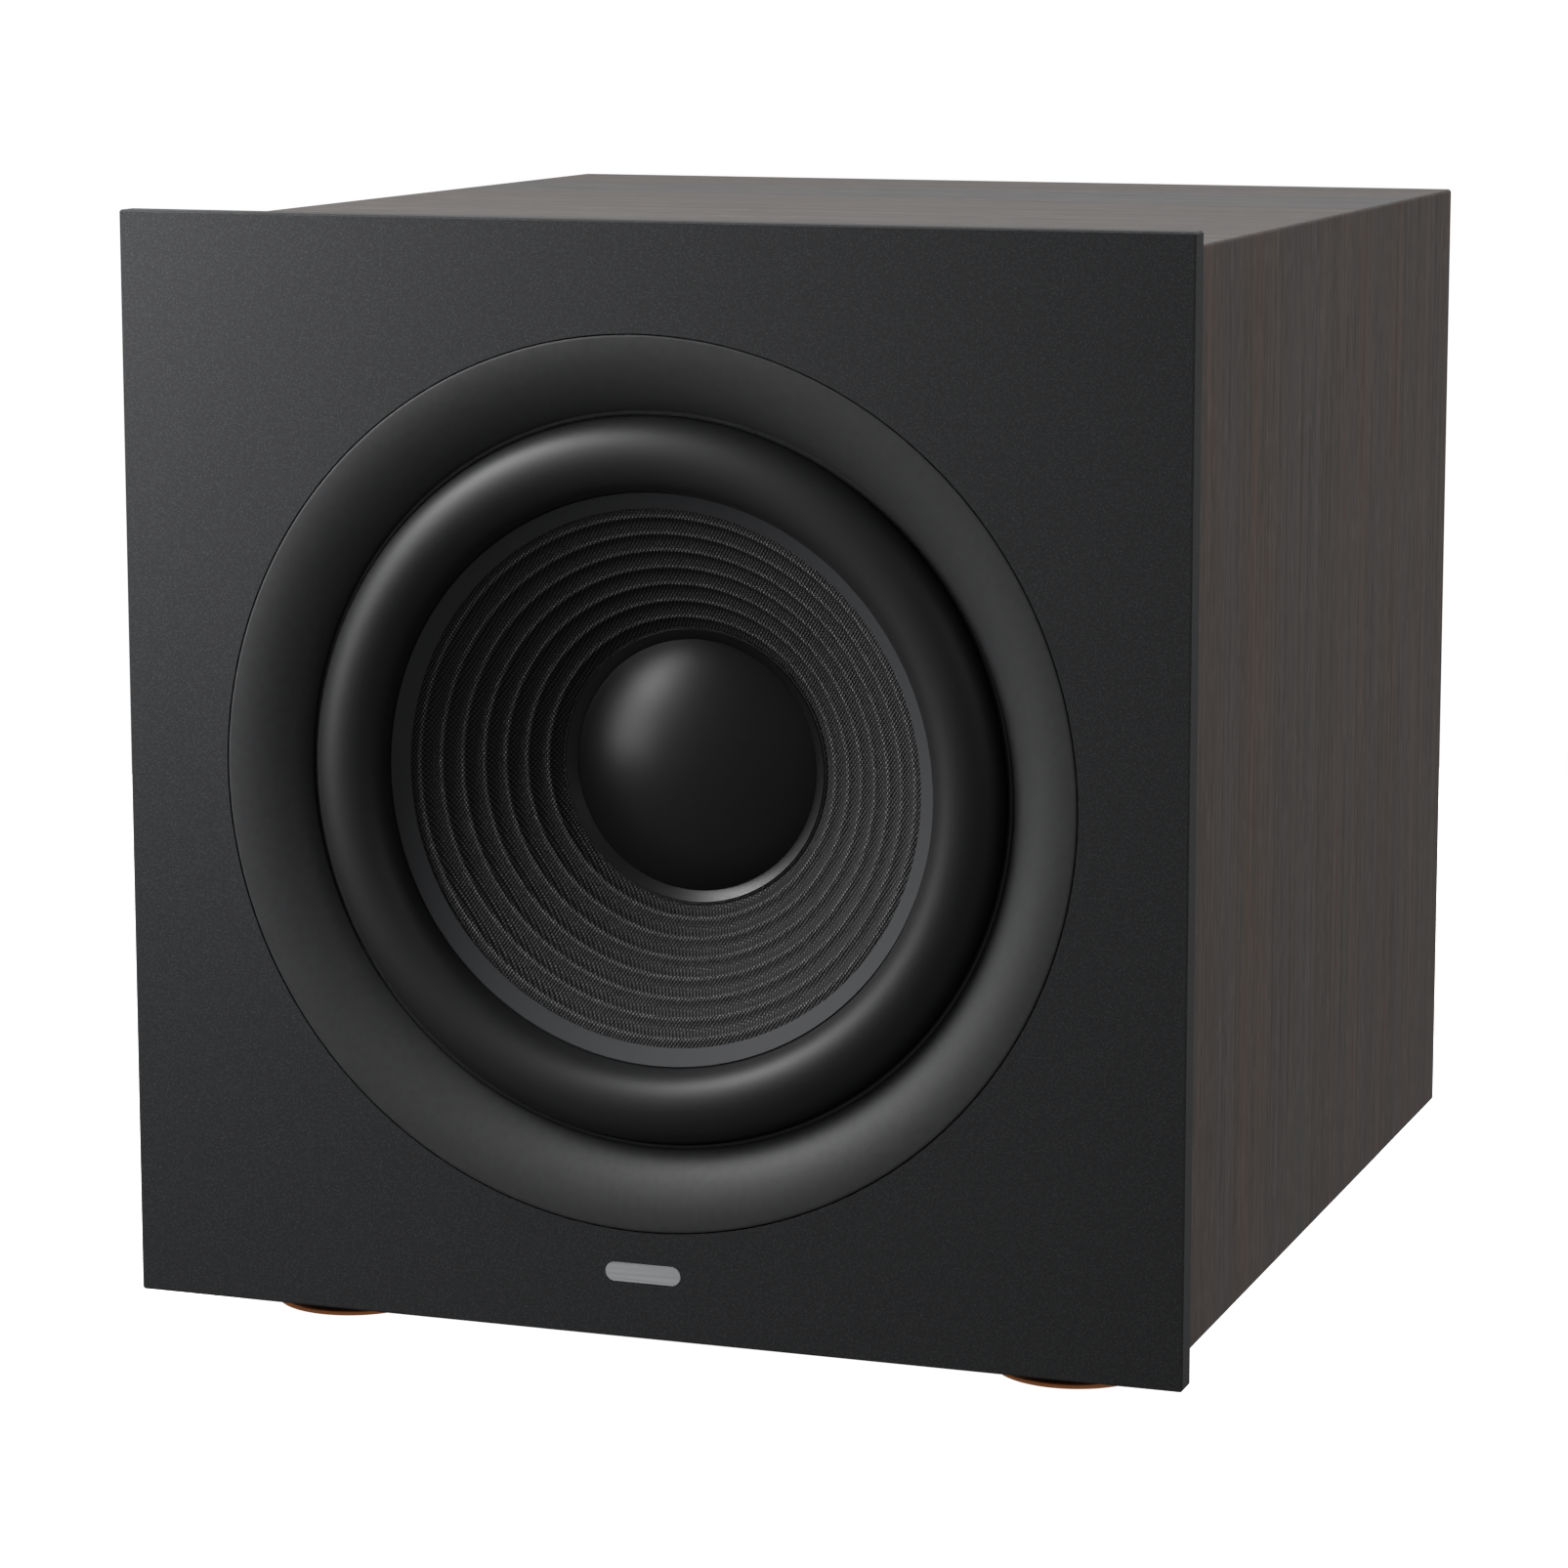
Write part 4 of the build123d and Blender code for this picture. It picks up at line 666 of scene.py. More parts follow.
@dataclass(frozen=True)
class Lathe:
    """Turns outlines about a line.

    Attributes:
        centre: a point on the line, where depth is 0.
        heading: which way depth runs.
        segments: steps round the circle.
    """

    centre: Place
    heading: Heading = Heading.BACKWARD
    segments: int = 256

    def turn(self, outline: np.ndarray) -> np.ndarray:
        """Point = centre + radius (cos a, sin a) across the line + depth along it.

        Args:
            outline: (n, 2) of radius and depth, in metres.

        Returns:
            (n, segments, 3) points.
        """
        angle = np.linspace(0.0, 2 * math.pi, self.segments, endpoint=False)
        radius, depth = outline[:, :1], outline[:, 1:]
        across, over, along = radius * np.cos(angle), radius * np.sin(angle), depth + 0 * angle
        order = (across, along, over) if self.heading is Heading.BACKWARD else (across, over, along)
        return np.stack(order, axis=-1) + np.array(self.centre)


def rounded(corners: Sequence[tuple[float, float]], radii: Sequence[float], steps: int = 6) -> np.ndarray:
    """Closed outline with a tangent arc in each corner.

    In a corner with half-angle h, an arc of radius r leaves the sides r / tan h from the corner, and its
    centre lies r / sin h along the bisector.

    Args:
        corners: (radius, depth) of each corner.
        radii: the arc in each corner, 0 for a sharp one.
        steps: points on each arc.

    Returns:
        (n, 2) points round the outline.
    """
    points = np.array(corners, float)
    runs = []
    for i, (corner, radius) in enumerate(zip(points, radii)):
        before, after = points[i - 1] - corner, points[(i + 1) % len(points)] - corner
        ends = min(np.linalg.norm(before), np.linalg.norm(after))
        before, after = before / np.linalg.norm(before), after / np.linalg.norm(after)
        half = math.acos(float(np.clip(before @ after, -1, 1))) / 2
        radius = min(radius, 0.49 * ends * math.tan(half))
        if radius <= 0:
            runs.append(corner[None])
            continue
        bisector = (before + after) / np.linalg.norm(before + after)
        centre = corner + bisector * radius / math.sin(half)
        start = (corner + before * radius / math.tan(half)) - centre
        turn = math.copysign(math.pi - 2 * half, start[0] * after[1] - start[1] * after[0])
        angle = np.linspace(0.0, turn, steps)[:, None]
        side = np.array([-start[1], start[0]])
        runs.append(centre + np.cos(angle) * start + np.sin(angle) * side)
    return np.concatenate(runs)


def build(name: str, grids: Sequence[np.ndarray], finish: Finish, crease: float = 34.0,
          open_rows: bool = False) -> bpy.types.Object:
    """One mesh from grids of points; quads join neighbours, and both ways close on themselves.

    Args:
        name: the piece's name.
        grids: each (rows, columns, 3); rows go round the outline, columns round the turn.
        finish: its finish.
        crease: faces that meet at more than this many degrees keep a sharp edge.
        open_rows: the outline starts and ends on the line it is turned about.

    Returns:
        The piece.
    """
    points, quads, first = [], [], 0
    for grid in grids:
        rows, columns = grid.shape[:2]
        number = first + np.arange(rows * columns).reshape(rows, columns)
        number = np.concatenate([number, number[:, :1]], axis=1)
        if not open_rows:
            number = np.concatenate([number, number[:1]], axis=0)
        around = [number[:-1, :-1], number[:-1, 1:], number[1:, 1:], number[1:, :-1]]
        quads.append(np.stack(around, -1).reshape(-1, 4))
        points.append(grid.reshape(-1, 3))
        first += rows * columns
    mesh = bpy.data.meshes.new(name)
    mesh.from_pydata(np.concatenate(points), [], np.concatenate(quads))
    shell = bmesh.new()
    shell.from_mesh(mesh)
    bmesh.ops.remove_doubles(shell, verts=shell.verts, dist=1e-7)
    bmesh.ops.recalc_face_normals(shell, faces=shell.faces)
    shell.to_mesh(mesh)
    shell.free()
    mesh.polygons.foreach_set("use_smooth", np.ones(len(mesh.polygons), bool))
    mesh.set_sharp_from_angle(angle=math.radians(crease))
    mesh.materials.append(finish.material())
    piece = bpy.data.objects.new(name, mesh)
    bpy.context.scene.collection.objects.link(piece)
    return piece


def bars(middles: Sequence[Place], sizes: Sequence[Place], turns: Sequence[float] = ()) -> np.ndarray:
    """Corners of straight bars: middle + half size * (+1 or -1 each way), turned about Y.

    Args:
        middles: middle of each bar.
        sizes: size of each bar along X, Y and Z before it is turned.
        turns: angle of each bar about Y, from +Z towards +X; none for upright bars.

    Returns:
        (bars, 8, 3) corners.
    """
    signs = np.array([(x, y, z) for x in (-1, 1) for y in (-1, 1) for z in (-1, 1)], float)
    corners = signs[None] * np.array(sizes)[:, None] / 2
    angle = np.array(turns if len(turns) else [0.0] * len(middles))[:, None]
    across = corners[..., 0] * np.cos(angle) + corners[..., 2] * np.sin(angle)
    upward = corners[..., 2] * np.cos(angle) - corners[..., 0] * np.sin(angle)
    return np.stack([across, corners[..., 1], upward], axis=-1) + np.array(middles)[:, None]


def slab(name: str, corners: np.ndarray, finish: Finish) -> bpy.types.Object:
    """One mesh of straight bars from their corners.

    Args:
        name: the piece's name.
        corners: (bars, 8, 3), as bars() gives them.
        finish: its finish.

    Returns:
        The piece.
    """
    faces = np.array([(0, 1, 3, 2), (4, 6, 7, 5), (0, 4, 5, 1), (2, 3, 7, 6), (0, 2, 6, 4), (1, 5, 7, 3)])
    every = (faces[None] + 8 * np.arange(len(corners))[:, None, None]).reshape(-1, 4)
    mesh = bpy.data.meshes.new(name)
    mesh.from_pydata(corners.reshape(-1, 3), [], every)
    mesh.materials.append(finish.material())
    piece = bpy.data.objects.new(name, mesh)
    bpy.context.scene.collection.objects.link(piece)
    return piece


def fit(piece: bpy.types.Object, body: str, slot: str, *nodes: str) -> bpy.types.Object:
    """Makes a piece ride on a body in place of CAD nodes.

    Args:
        piece: the new piece.
        body: the body that carries it.
        slot: a material slot's name, handed on to stand_in(), which does not use it.
        nodes: the CAD nodes that it stands for.

    Returns:
        The piece.
    """
    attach(piece, body)
    return stand_in(piece, slot, *nodes)


def stand_in(piece: bpy.types.Object, slot: str, *nodes: str) -> bpy.types.Object:
    """Puts a piece in place of CAD nodes and reports it.

    Args:
        piece: the new piece.
        slot: not used.
        nodes: the CAD nodes that it stands for.

    Returns:
        The piece.
    """
    if nodes:
        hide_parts(*nodes)
    LOG.info("%s: %d faces", piece.name, len(piece.data.polygons))
    return piece


def span(node: str, axis: int) -> tuple[float, float]:
    """Lowest and highest place of a CAD node along an axis."""
    low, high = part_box(node)
    return low[axis], high[axis]


def half_width(node: str) -> float:
    """Half of a CAD node's width along X: the radius of a round one."""
    low, high = span(node, 0)
    return (high - low) / 2


# ---------------------------------------------------------------- sub-assemblies


@dataclass
class Cabinet:
    """The wrapped box, its front plate, boards and blank badge.

    Attributes:
        edge: how much of the panels' back edge is painted, in metres.
        wood: colour of the wrap.
    """

    edge: float = 0.15 * MM
    wood: Colour = (0.070, 0.060, 0.056)

    def dress(self) -> None:
        """Gives the panels their grain and the boards their raw or painted faces."""
        back = span("panel_left", 1)[1] - self.edge
        for name, run, nodes in (("wood_upright", GrainRun.UPRIGHT, ("panel_left", "panel_right")),
                                 ("wood_level", GrainRun.LEVEL, ("panel_top", "panel_bottom"))):
            WoodWrap(name, self.wood, 0.42, relief=0.00004, run=run, back=back).dress(*nodes)
        PLATE_PAINT.dress("front_plate")
        RAW_BOARD.dress("inner_baffle", "window_brace")
        REAR_PAINT.dress("rear_panel")
        BADGE_METAL.dress("badge")


@dataclass
class Woofer:
    """The woofer, from the trim ring to the magnet. Depths are behind the face of the front plate.

    Attributes:
        mouth_round: rounding of the trim ring's mouth.
        mouth_gap: from the roll's outer foot to the mouth.
        ring_fall: depth of the trim ring at its mouth.
        ring_edge: rounding of the trim ring's outer edges.
        ring_seat: clearance round the step ring, behind the trim ring.
        clamp_show: how much of the step ring shows inside the mouth.
        clamp_round: rounding of the step ring's edges.
        roll_crest: depth of the surround's crest.
        roll_foot: depth of its two feet.
        roll_width: from one foot to the other.
        lip_width: flat band of the surround that is glued to the cone.
        rubber_wall: thickness of the surround.
        cone_rim: radius of the cone's rim.
        cone_rim_depth: depth of the rim.
        cone_reach: from the rim to the cone's inner edge, across the radius.
        cone_angle: degrees between the cone and the plane of its rim.
        cone_wall: thickness of the cone.
        ridges: how many ridges the cone has.
        ridge_pitch: from one ridge to the next, along the radius.
        ridge_first: radius of the outermost ridge.
        ridge_height: depth of the hollows between the ridges.
        ridge_level: share of that depth that stands in front of the plain cone.
        cap_height: how far the cap bulges.
        cap_wall: thickness of the cap.
        cap_ring_thickness: how far the cap's seat ring stands out of the cone.
        bead: radius of the bead of glue.
        half_waves: half waves of the spider from its outer flat to its inner one.
        spider_wall: thickness of the spider.
        segments: steps round every turned piece.
        lathe: turns them about the woofer's middle line.
    """

    mouth_round: float = 2.2 * MM
    mouth_gap: float = 1.7 * MM
    ring_fall: float = 12.0 * MM
    ring_edge: float = 0.35 * MM
    ring_seat: float = 0.5 * MM
    clamp_show: float = 1.4 * MM
    clamp_round: float = 0.5 * MM
    roll_crest: float = 2.5 * MM
    roll_foot: float = 14.0 * MM
    roll_width: float = 23.3 * MM
    lip_width: float = 5.6 * MM
    rubber_wall: float = 1.0 * MM
    cone_rim: float = 84.1 * MM
    cone_rim_depth: float = 18.3 * MM
    cone_reach: float = 58.1 * MM
    cone_angle: float = 34.4
    cone_wall: float = 1.2 * MM
    ridges: int = 7
    ridge_pitch: float = RIDGE_PITCH
    ridge_first: float = RIDGE_CREST
    ridge_height: float = 1.45 * MM
    ridge_level: float = 0.62
    cap_height: float = 12.0 * MM
    cap_wall: float = 0.8 * MM
    cap_ring_thickness: float = 0.7 * MM
    bead: float = 0.35 * MM
    half_waves: int = 6
    spider_wall: float = 1.0 * MM
    segments: int = 320
    lathe: Lathe = field(init=False)

    def __post_init__(self) -> None:
        """Puts the lathe on the woofer's middle line, at the face of the front plate."""
        low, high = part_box("trim_ring")
        self.lathe = Lathe(((low.x + high.x) / 2, span("front_plate", 1)[0], (low.z + high.z) / 2),
                           segments=self.segments)

    def cone_depth(self, radius: Any) -> Any:
        """Depth of the cone's plain front at a radius: a straight slope inwards from the rim."""
        return self.cone_rim_depth + (self.cone_rim - radius) * math.tan(math.radians(self.cone_angle))

    def trim_ring(self) -> None:
        """Ring whose face is one arc, flat at its outer edge and falling to a rounded mouth.

        The rounding is the curve (1-t)^2 A + 2t(1-t) B + t^2 C, from the arc's end A to the mouth's end C.
        """
        outer = half_width("trim_ring")
        low, high = span("trim_ring", 1)
        back = high - low
        width = outer - self.mouth_radius()
        bow = (width**2 + self.ring_fall**2) / (2 * self.ring_fall)
        sweep = np.linspace(0.0, math.asin((width - self.mouth_round) / bow), 26)
        face = np.stack([outer - bow * np.sin(sweep), bow - bow * np.cos(sweep)], axis=1)
        corner = np.array([self.mouth_radius(), face[-1, 1] + self.mouth_round * math.tan(sweep[-1])])
        end = np.array([self.mouth_radius(), self.ring_fall])
        share = np.linspace(0.0, 1.0, 12)[1:, None]
        lip = (1 - share) ** 2 * face[-1] + 2 * share * (1 - share) * corner + share**2 * end
        seat = half_width("step_ring") + self.ring_seat
        seat_back = max(back - self.ring_edge, self.ring_fall + 0.01 * MM)
        rest = np.array([[seat, self.ring_fall], [seat, seat_back],
                         [outer - self.ring_edge, back], [outer, back - self.ring_edge],
                         [outer, self.ring_edge]])
        rim = np.array([[outer - self.ring_edge * 0.3, self.ring_edge * 0.3], [outer - self.ring_edge, 0.0]])
        face = face[face[:, 0] < outer - self.ring_edge]
        piece = build("trim_ring_turned", [self.lathe.turn(np.concatenate([rim, face, lip, rest]))],
                      RING_MOULDING)
        fit(piece, "cabinet", "trim_plastic", "trim_ring")

    def mouth_radius(self) -> float:
        """Radius of the trim ring's mouth."""
        return self.cone_rim + self.lip_width + self.roll_width + self.mouth_gap

    def step_ring(self) -> None:
        """Thin flat ring that clamps the surround, rounded at its inner edge."""
        low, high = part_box("step_ring")
        front, back = low.y - self.lathe.centre[1], high.y - self.lathe.centre[1]
        inner = self.mouth_radius() - self.clamp_show
        outer = half_width("step_ring")
        corners = [(inner, front), (outer, front), (outer, back), (inner, back)]
        outline = rounded(corners, [self.clamp_round] * 4)
        piece = build("step_ring_turned", [self.lathe.turn(outline)], STEP_SATIN)
        fit(piece, "cabinet", "step_gloss", "step_ring")

    def surround(self) -> None:
        """Rubber roll: a landing, a half ellipse from foot to foot, a small valley and the lip."""
        inner = self.cone_rim + self.lip_width
        outer = inner + self.roll_width
        middle, half = (inner + outer) / 2, self.roll_width / 2
        landing = half_width("surround")
        angle = np.linspace(0.0, math.pi, 60)
        roll = np.stack([middle + half * np.cos(angle),
                         self.roll_foot - (self.roll_foot - self.roll_crest) * np.sin(angle) ** 0.94], axis=1)
        valley = np.array([[inner - 0.15 * MM, self.roll_foot + 0.5 * MM],
                           [inner - 0.35 * MM, self.roll_foot + 0.2 * MM]])
        share = np.linspace(0.0, 1.0, 8)[:, None]
        start = np.array([[inner - 0.6 * MM, self.roll_foot + 0.15 * MM]])
        end = np.array([[self.cone_rim + 0.25 * MM, self.cone_rim_depth - 0.75 * MM]])
        lip = start + (end - start) * share
        edge = np.array([[self.cone_rim, self.cone_rim_depth - 0.55 * MM],
                         [self.cone_rim, self.cone_rim_depth - 0.1 * MM]])
        flat = np.array([[landing, self.roll_foot], [outer + 1.0 * MM, self.roll_foot]])
        front = np.concatenate([flat, roll[1:], valley, lip, edge])
        below = np.array([[inner, self.roll_foot + 2.1 * MM]])
        back_roll = roll[1:-1][::-1] + np.array([0.0, self.rubber_wall])
        back_roll[:, 0] = middle + (back_roll[:, 0] - middle) * (1 - self.rubber_wall / half)
        back = np.concatenate([below, back_roll, [[outer - 1.0 * MM, self.roll_foot + self.rubber_wall],
                                                  [landing, self.roll_foot + self.rubber_wall]]])
        piece = build("surround_roll", [self.lathe.turn(np.concatenate([front, back]))], SATIN_RUBBER)
        self.stretch(piece, inner, outer)
        stand_in(piece, "rubber_black", "surround")

    def stretch(self, piece: bpy.types.Object, inner: float, outer: float) -> None:
        """Bakes a ring of flexible stuff into place and works out how much each point would follow the cone
        inside and the cabinet outside; that share is not applied to anything.

        The share rises smoothly, as 3t^2 - 2t^3, from outer to inner.

        Args:
            piece: the ring.
            inner: radius at which the share reaches 1.
            outer: radius at which the share is 0.
        """
        x, y, z = self.lathe.centre
        x + outer
        x + inner
        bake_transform(piece)
        points = np.empty(len(piece.data.vertices) * 3, np.float32)
        piece.data.vertices.foreach_get("co", points)
        points = points.reshape(-1, 3)
        radius = np.hypot(points[:, 0] - x, points[:, 2] - z)
        share = np.clip((outer - radius) / (outer - inner), 0.0, 1.0)
        share = share * share * (3 - 2 * share)

    def cone(self) -> None:
        """Cone with sharp ridges: the hollow between two ridges is half a sine wave."""
        inner, outer = self.cone_rim - self.cone_reach, half_width("cone")
        first = self.ridge_first + self.ridge_pitch / 2
        last = self.ridge_first - (self.ridges - 0.2) * self.ridge_pitch
        radius = np.concatenate([np.linspace(outer, first, 8)[:-1], np.linspace(first, last, 118),
                                 np.linspace(last, inner, 10)[1:]])
        turns = (self.ridge_first - radius) / self.ridge_pitch
        hollow = (np.sin(math.pi * turns) ** 2 + 0.006) ** 0.5
        hollow = np.where((turns < -0.5) | (turns > self.ridges - 0.5), 1.0, hollow)
        slope = math.radians(self.cone_angle)
        normal = np.array([-math.sin(slope), -math.cos(slope)])
        plain = np.stack([radius, self.cone_depth(radius)], axis=1)
        front = plain - normal * (self.ridge_height * (hollow - self.ridge_level))[:, None]
        back = plain[::6] - normal * (self.cone_wall + 0.2 * MM)
        outline = np.concatenate([front, back[::-1]])
        piece = build("cone_ridged", [self.lathe.turn(outline)], CONE_WEAVE, crease=60.0)
        fit(piece, "cone_assembly", "cone_weave", "cone")

    def cap(self) -> None:
        """Domed cap, its seat ring and the bead of glue outside the ring.

        The dome is part of a sphere: with radius w and height h, the sphere's radius is (w^2 + h^2) / 2h.
        """
        width, ring = half_width("dust_cap"), half_width("dust_cap_ring")
        rim = self.cone_depth(width) - self.cap_ring_thickness
        ball = (width**2 + self.cap_height**2) / (2 * self.cap_height)
        angle = np.linspace(0.0, math.asin(width / ball), 40)
        front = np.stack([ball * np.sin(angle), rim - self.cap_height + ball * (1 - np.cos(angle))], axis=1)
        back = front[::-1] * np.array([0.985, 1.0]) + np.array([0.0, self.cap_wall])
        piece = build("dust_cap_dome", [self.lathe.turn(np.concatenate([front, back]))], CAP_SATIN,
                      open_rows=True)
        fit(piece, "cone_assembly", "cap_satin", "dust_cap")
        inner = width + 0.05 * MM
        proud = self.cap_ring_thickness
        corners = [(inner, self.cone_depth(inner) - proud), (ring, self.cone_depth(ring) - proud),
                   (ring, self.cone_depth(ring) + 0.4 * MM), (inner, self.cone_depth(inner) + 0.4 * MM)]
        piece = build("dust_cap_seat", [self.lathe.turn(rounded(corners, [0.3 * MM] * 4))], CAP_SATIN)
        fit(piece, "cone_assembly", "cap_satin", "dust_cap_ring")
        around = np.linspace(0.0, 2 * math.pi, 10, endpoint=False)
        bead = np.stack([ring + self.bead * 0.4 + self.bead * np.cos(around),
                         self.cone_depth(ring) + 0.2 * MM - self.bead * np.sin(around)], axis=1)
        piece = build("cap_glue_bead", [self.lathe.turn(bead)], GLUE_BEAD)
        fit(piece, "cone_assembly", "cap_satin")

    def spider(self) -> None:
        """Corrugated cloth disc: a sine wave along the radius between two flats."""
        node_low, node_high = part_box("spider")
        outer = half_width("spider")
        inner = half_width("voice_coil_former")
        front = node_low.y - self.lathe.centre[1]
        middle = (node_low.y + node_high.y) / 2 - self.lathe.centre[1]
        radius = np.linspace(outer, inner, 90)
        start, end = outer - 8.0 * MM, inner + 4.0 * MM
        share = np.clip((start - radius) / (start - end), 0.0, 1.0)
        height = (middle - front - self.spider_wall / 2) * np.sin(share * self.half_waves * math.pi)
        line = np.stack([radius, middle - self.spider_wall / 2 + height * (share > 0) * (share < 1)], axis=1)
        back = line[::-1] + np.array([0.0, self.spider_wall])
        outline = np.concatenate([line, back])
        piece = build("spider_disc", [self.lathe.turn(outline)], SPIDER_CLOTH, crease=60.0)
        self.stretch(piece, end, start)
        stand_in(piece, "spider_cloth", "spider")

    def dress(self) -> None:
        """Finishes the hidden iron, frame and leads."""
        CAST_FRAME.dress("woofer_basket")
        FOAM.dress("woofer_gasket")
        BLACK_SCREW.dress("woofer_screws")
        PHENOLIC.dress("terminal_strip")
        LEAD_SHEATH.dress("speaker_leads")
        ZINC.dress("top_plate", "pole_and_back_plate")
        FERRITE.dress("magnet_rings")
        FORMER_METAL.dress("voice_coil_former")
        WINDING.dress("voice_coil_winding")

    def make(self) -> None:
        """Builds and dresses the woofer."""
        self.trim_ring()
        self.step_ring()
        self.surround()
        self.cone()
        self.cap()
        self.spider()
        self.dress()


@dataclass
class Feet:
    """Four feet: a plastic body, a bright copper ring and a rubber pad.

    Attributes:
        ring_radius: outer radius of the copper ring.
        ring_width: from its outer side to its inner one.
        ring_round: rounding of its outer edges.
        inner_round: rounding of its inner edges.
        segments: steps round the ring.
    """

    ring_radius: float = 25.4 * MM
    ring_width: float = 5.2 * MM
    ring_round: float = 0.7 * MM
    inner_round: float = 0.2 * MM
    segments: int = 96

    def places(self) -> list[tuple[float, float]]:
        """Middles of the feet, a ring's radius in from the corners of their box.

        Returns:
            (x, y) of each foot.
        """
        low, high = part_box("foot_rings")
        inset = self.ring_radius
        return [(x, y) for x in (low.x + inset, high.x - inset) for y in (low.y + inset, high.y - inset)]

    def turned(self, name: str, corners: Sequence[tuple[float, float]], radii: Sequence[float],
               finish: Finish, slot: str, node: str) -> None:
        """Turns one outline at every foot and puts it in place of a node.

        Args:
            name: the piece's name.
            corners: (radius, height) of the outline's corners.
            radii: rounding of each corner.
            finish: its finish.
            slot: a material slot's name, handed on to fit(), which does not give it to the piece.
            node: the node that it stands for.
        """
        outline = rounded(corners, radii)
        grids = [Lathe((x, y, 0.0), Heading.UPWARD, self.segments).turn(outline) for x, y in self.places()]
        fit(build(name, grids, finish), "cabinet", slot, node)

    def make(self) -> None:
        """Builds the rings and dresses the bodies, pads and screws."""
        low, high = span("foot_rings", 2)
        outer, inner = self.ring_radius, self.ring_radius - self.ring_width
        self.turned("foot_ring_turned", [(inner, low), (outer, low), (outer, high), (inner, high)],
                    [self.inner_round, self.ring_round, self.ring_round, self.inner_round],
                    COPPER, "foot_copper", "foot_rings")
        FOOT_PLASTIC.dress("foot_bodies")
        FOOT_RUBBER.dress("foot_pads")
        ZINC.dress("foot_screws")


@dataclass
class Port:
    """The flared port at the back."""

    def dress(self) -> None:
        """Finishes the flares, tube and screws."""
        PORT_PLASTIC.dress("port_outer_flare", "port_tube", "port_inner_flare")
        BLACK_SCREW.dress("port_screws")


@dataclass
class Knob:
    """A ribbed control knob with a pale pointer line.

    Attributes:
        node: the CAD node that it stands for.
        body: the body that turns.
        ribs: grooves round it.
        groove: how deep they are.
        nose: rounding of its front edge.
        foot: rounding of its edge at the plate.
        taper: radius at the front, as a share of the radius at the plate.
        pointer: width of the pointer line.
        pointer_depth: thickness of the pointer line.
        proud: how far the pointer line stands out of the knob's face.
        columns: steps round the knob.
    """

    node: str
    body: str
    ribs: int = 20
    groove: float = 0.55 * MM
    nose: float = 1.4 * MM
    foot: float = 0.4 * MM
    taper: float = 0.94
    pointer: float = 1.1 * MM
    pointer_depth: float = 0.3 * MM
    proud: float = 0.08 * MM
    columns: int = 240

    def make(self) -> None:
        """Turns a rounded outline whose radius dips at each groove, and lays the pointer on its face.

        Radius = outline radius - groove depth * share * max(0, cos(ribs a))^3, where share is 1 on the side
        and falls to 0 on the two ends.
        """
        low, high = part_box(self.node)
        radius, length = (high.x - low.x) / 2, high.y - low.y - self.proud
        corners = [(0.0, 0.0), (radius, 0.0), (radius * self.taper, length), (0.0, length)]
        outline = rounded(corners, [0.0, self.foot, self.nose, 0.0], 9)
        share = np.clip((outline[:, 0] / radius - 0.86) / 0.06, 0.0, 1.0)[:, None]
        grid = Lathe(((low.x + high.x) / 2, low.y, (low.z + high.z) / 2), segments=self.columns).turn(outline)
        centre = np.array([(low.x + high.x) / 2, 0.0, (low.z + high.z) / 2])
        angle = np.linspace(0.0, 2 * math.pi, self.columns, endpoint=False)
        dip = self.groove * share * np.clip(np.cos(self.ribs * angle), 0.0, None) ** 3
        out = grid - centre
        reach = np.hypot(out[..., 0], out[..., 2]) + 1e-9
        shrink = 1 - dip / reach
        grid = centre + out * np.stack([shrink, np.ones_like(shrink), shrink], axis=-1)
        piece = build(f"{self.node}_ribbed", [grid], KNOB_PLASTIC, crease=50.0, open_rows=True)
        fit(piece, self.body, "knob_plastic", self.node)
        line = bars([(centre[0], high.y - self.pointer_depth / 2, high.z - radius * 0.45)],
                    [(self.pointer, self.pointer_depth, radius * 0.7)])
        fit(slab(f"{self.node}_pointer", line, MARK_PAINT), self.body, "knob_plastic")


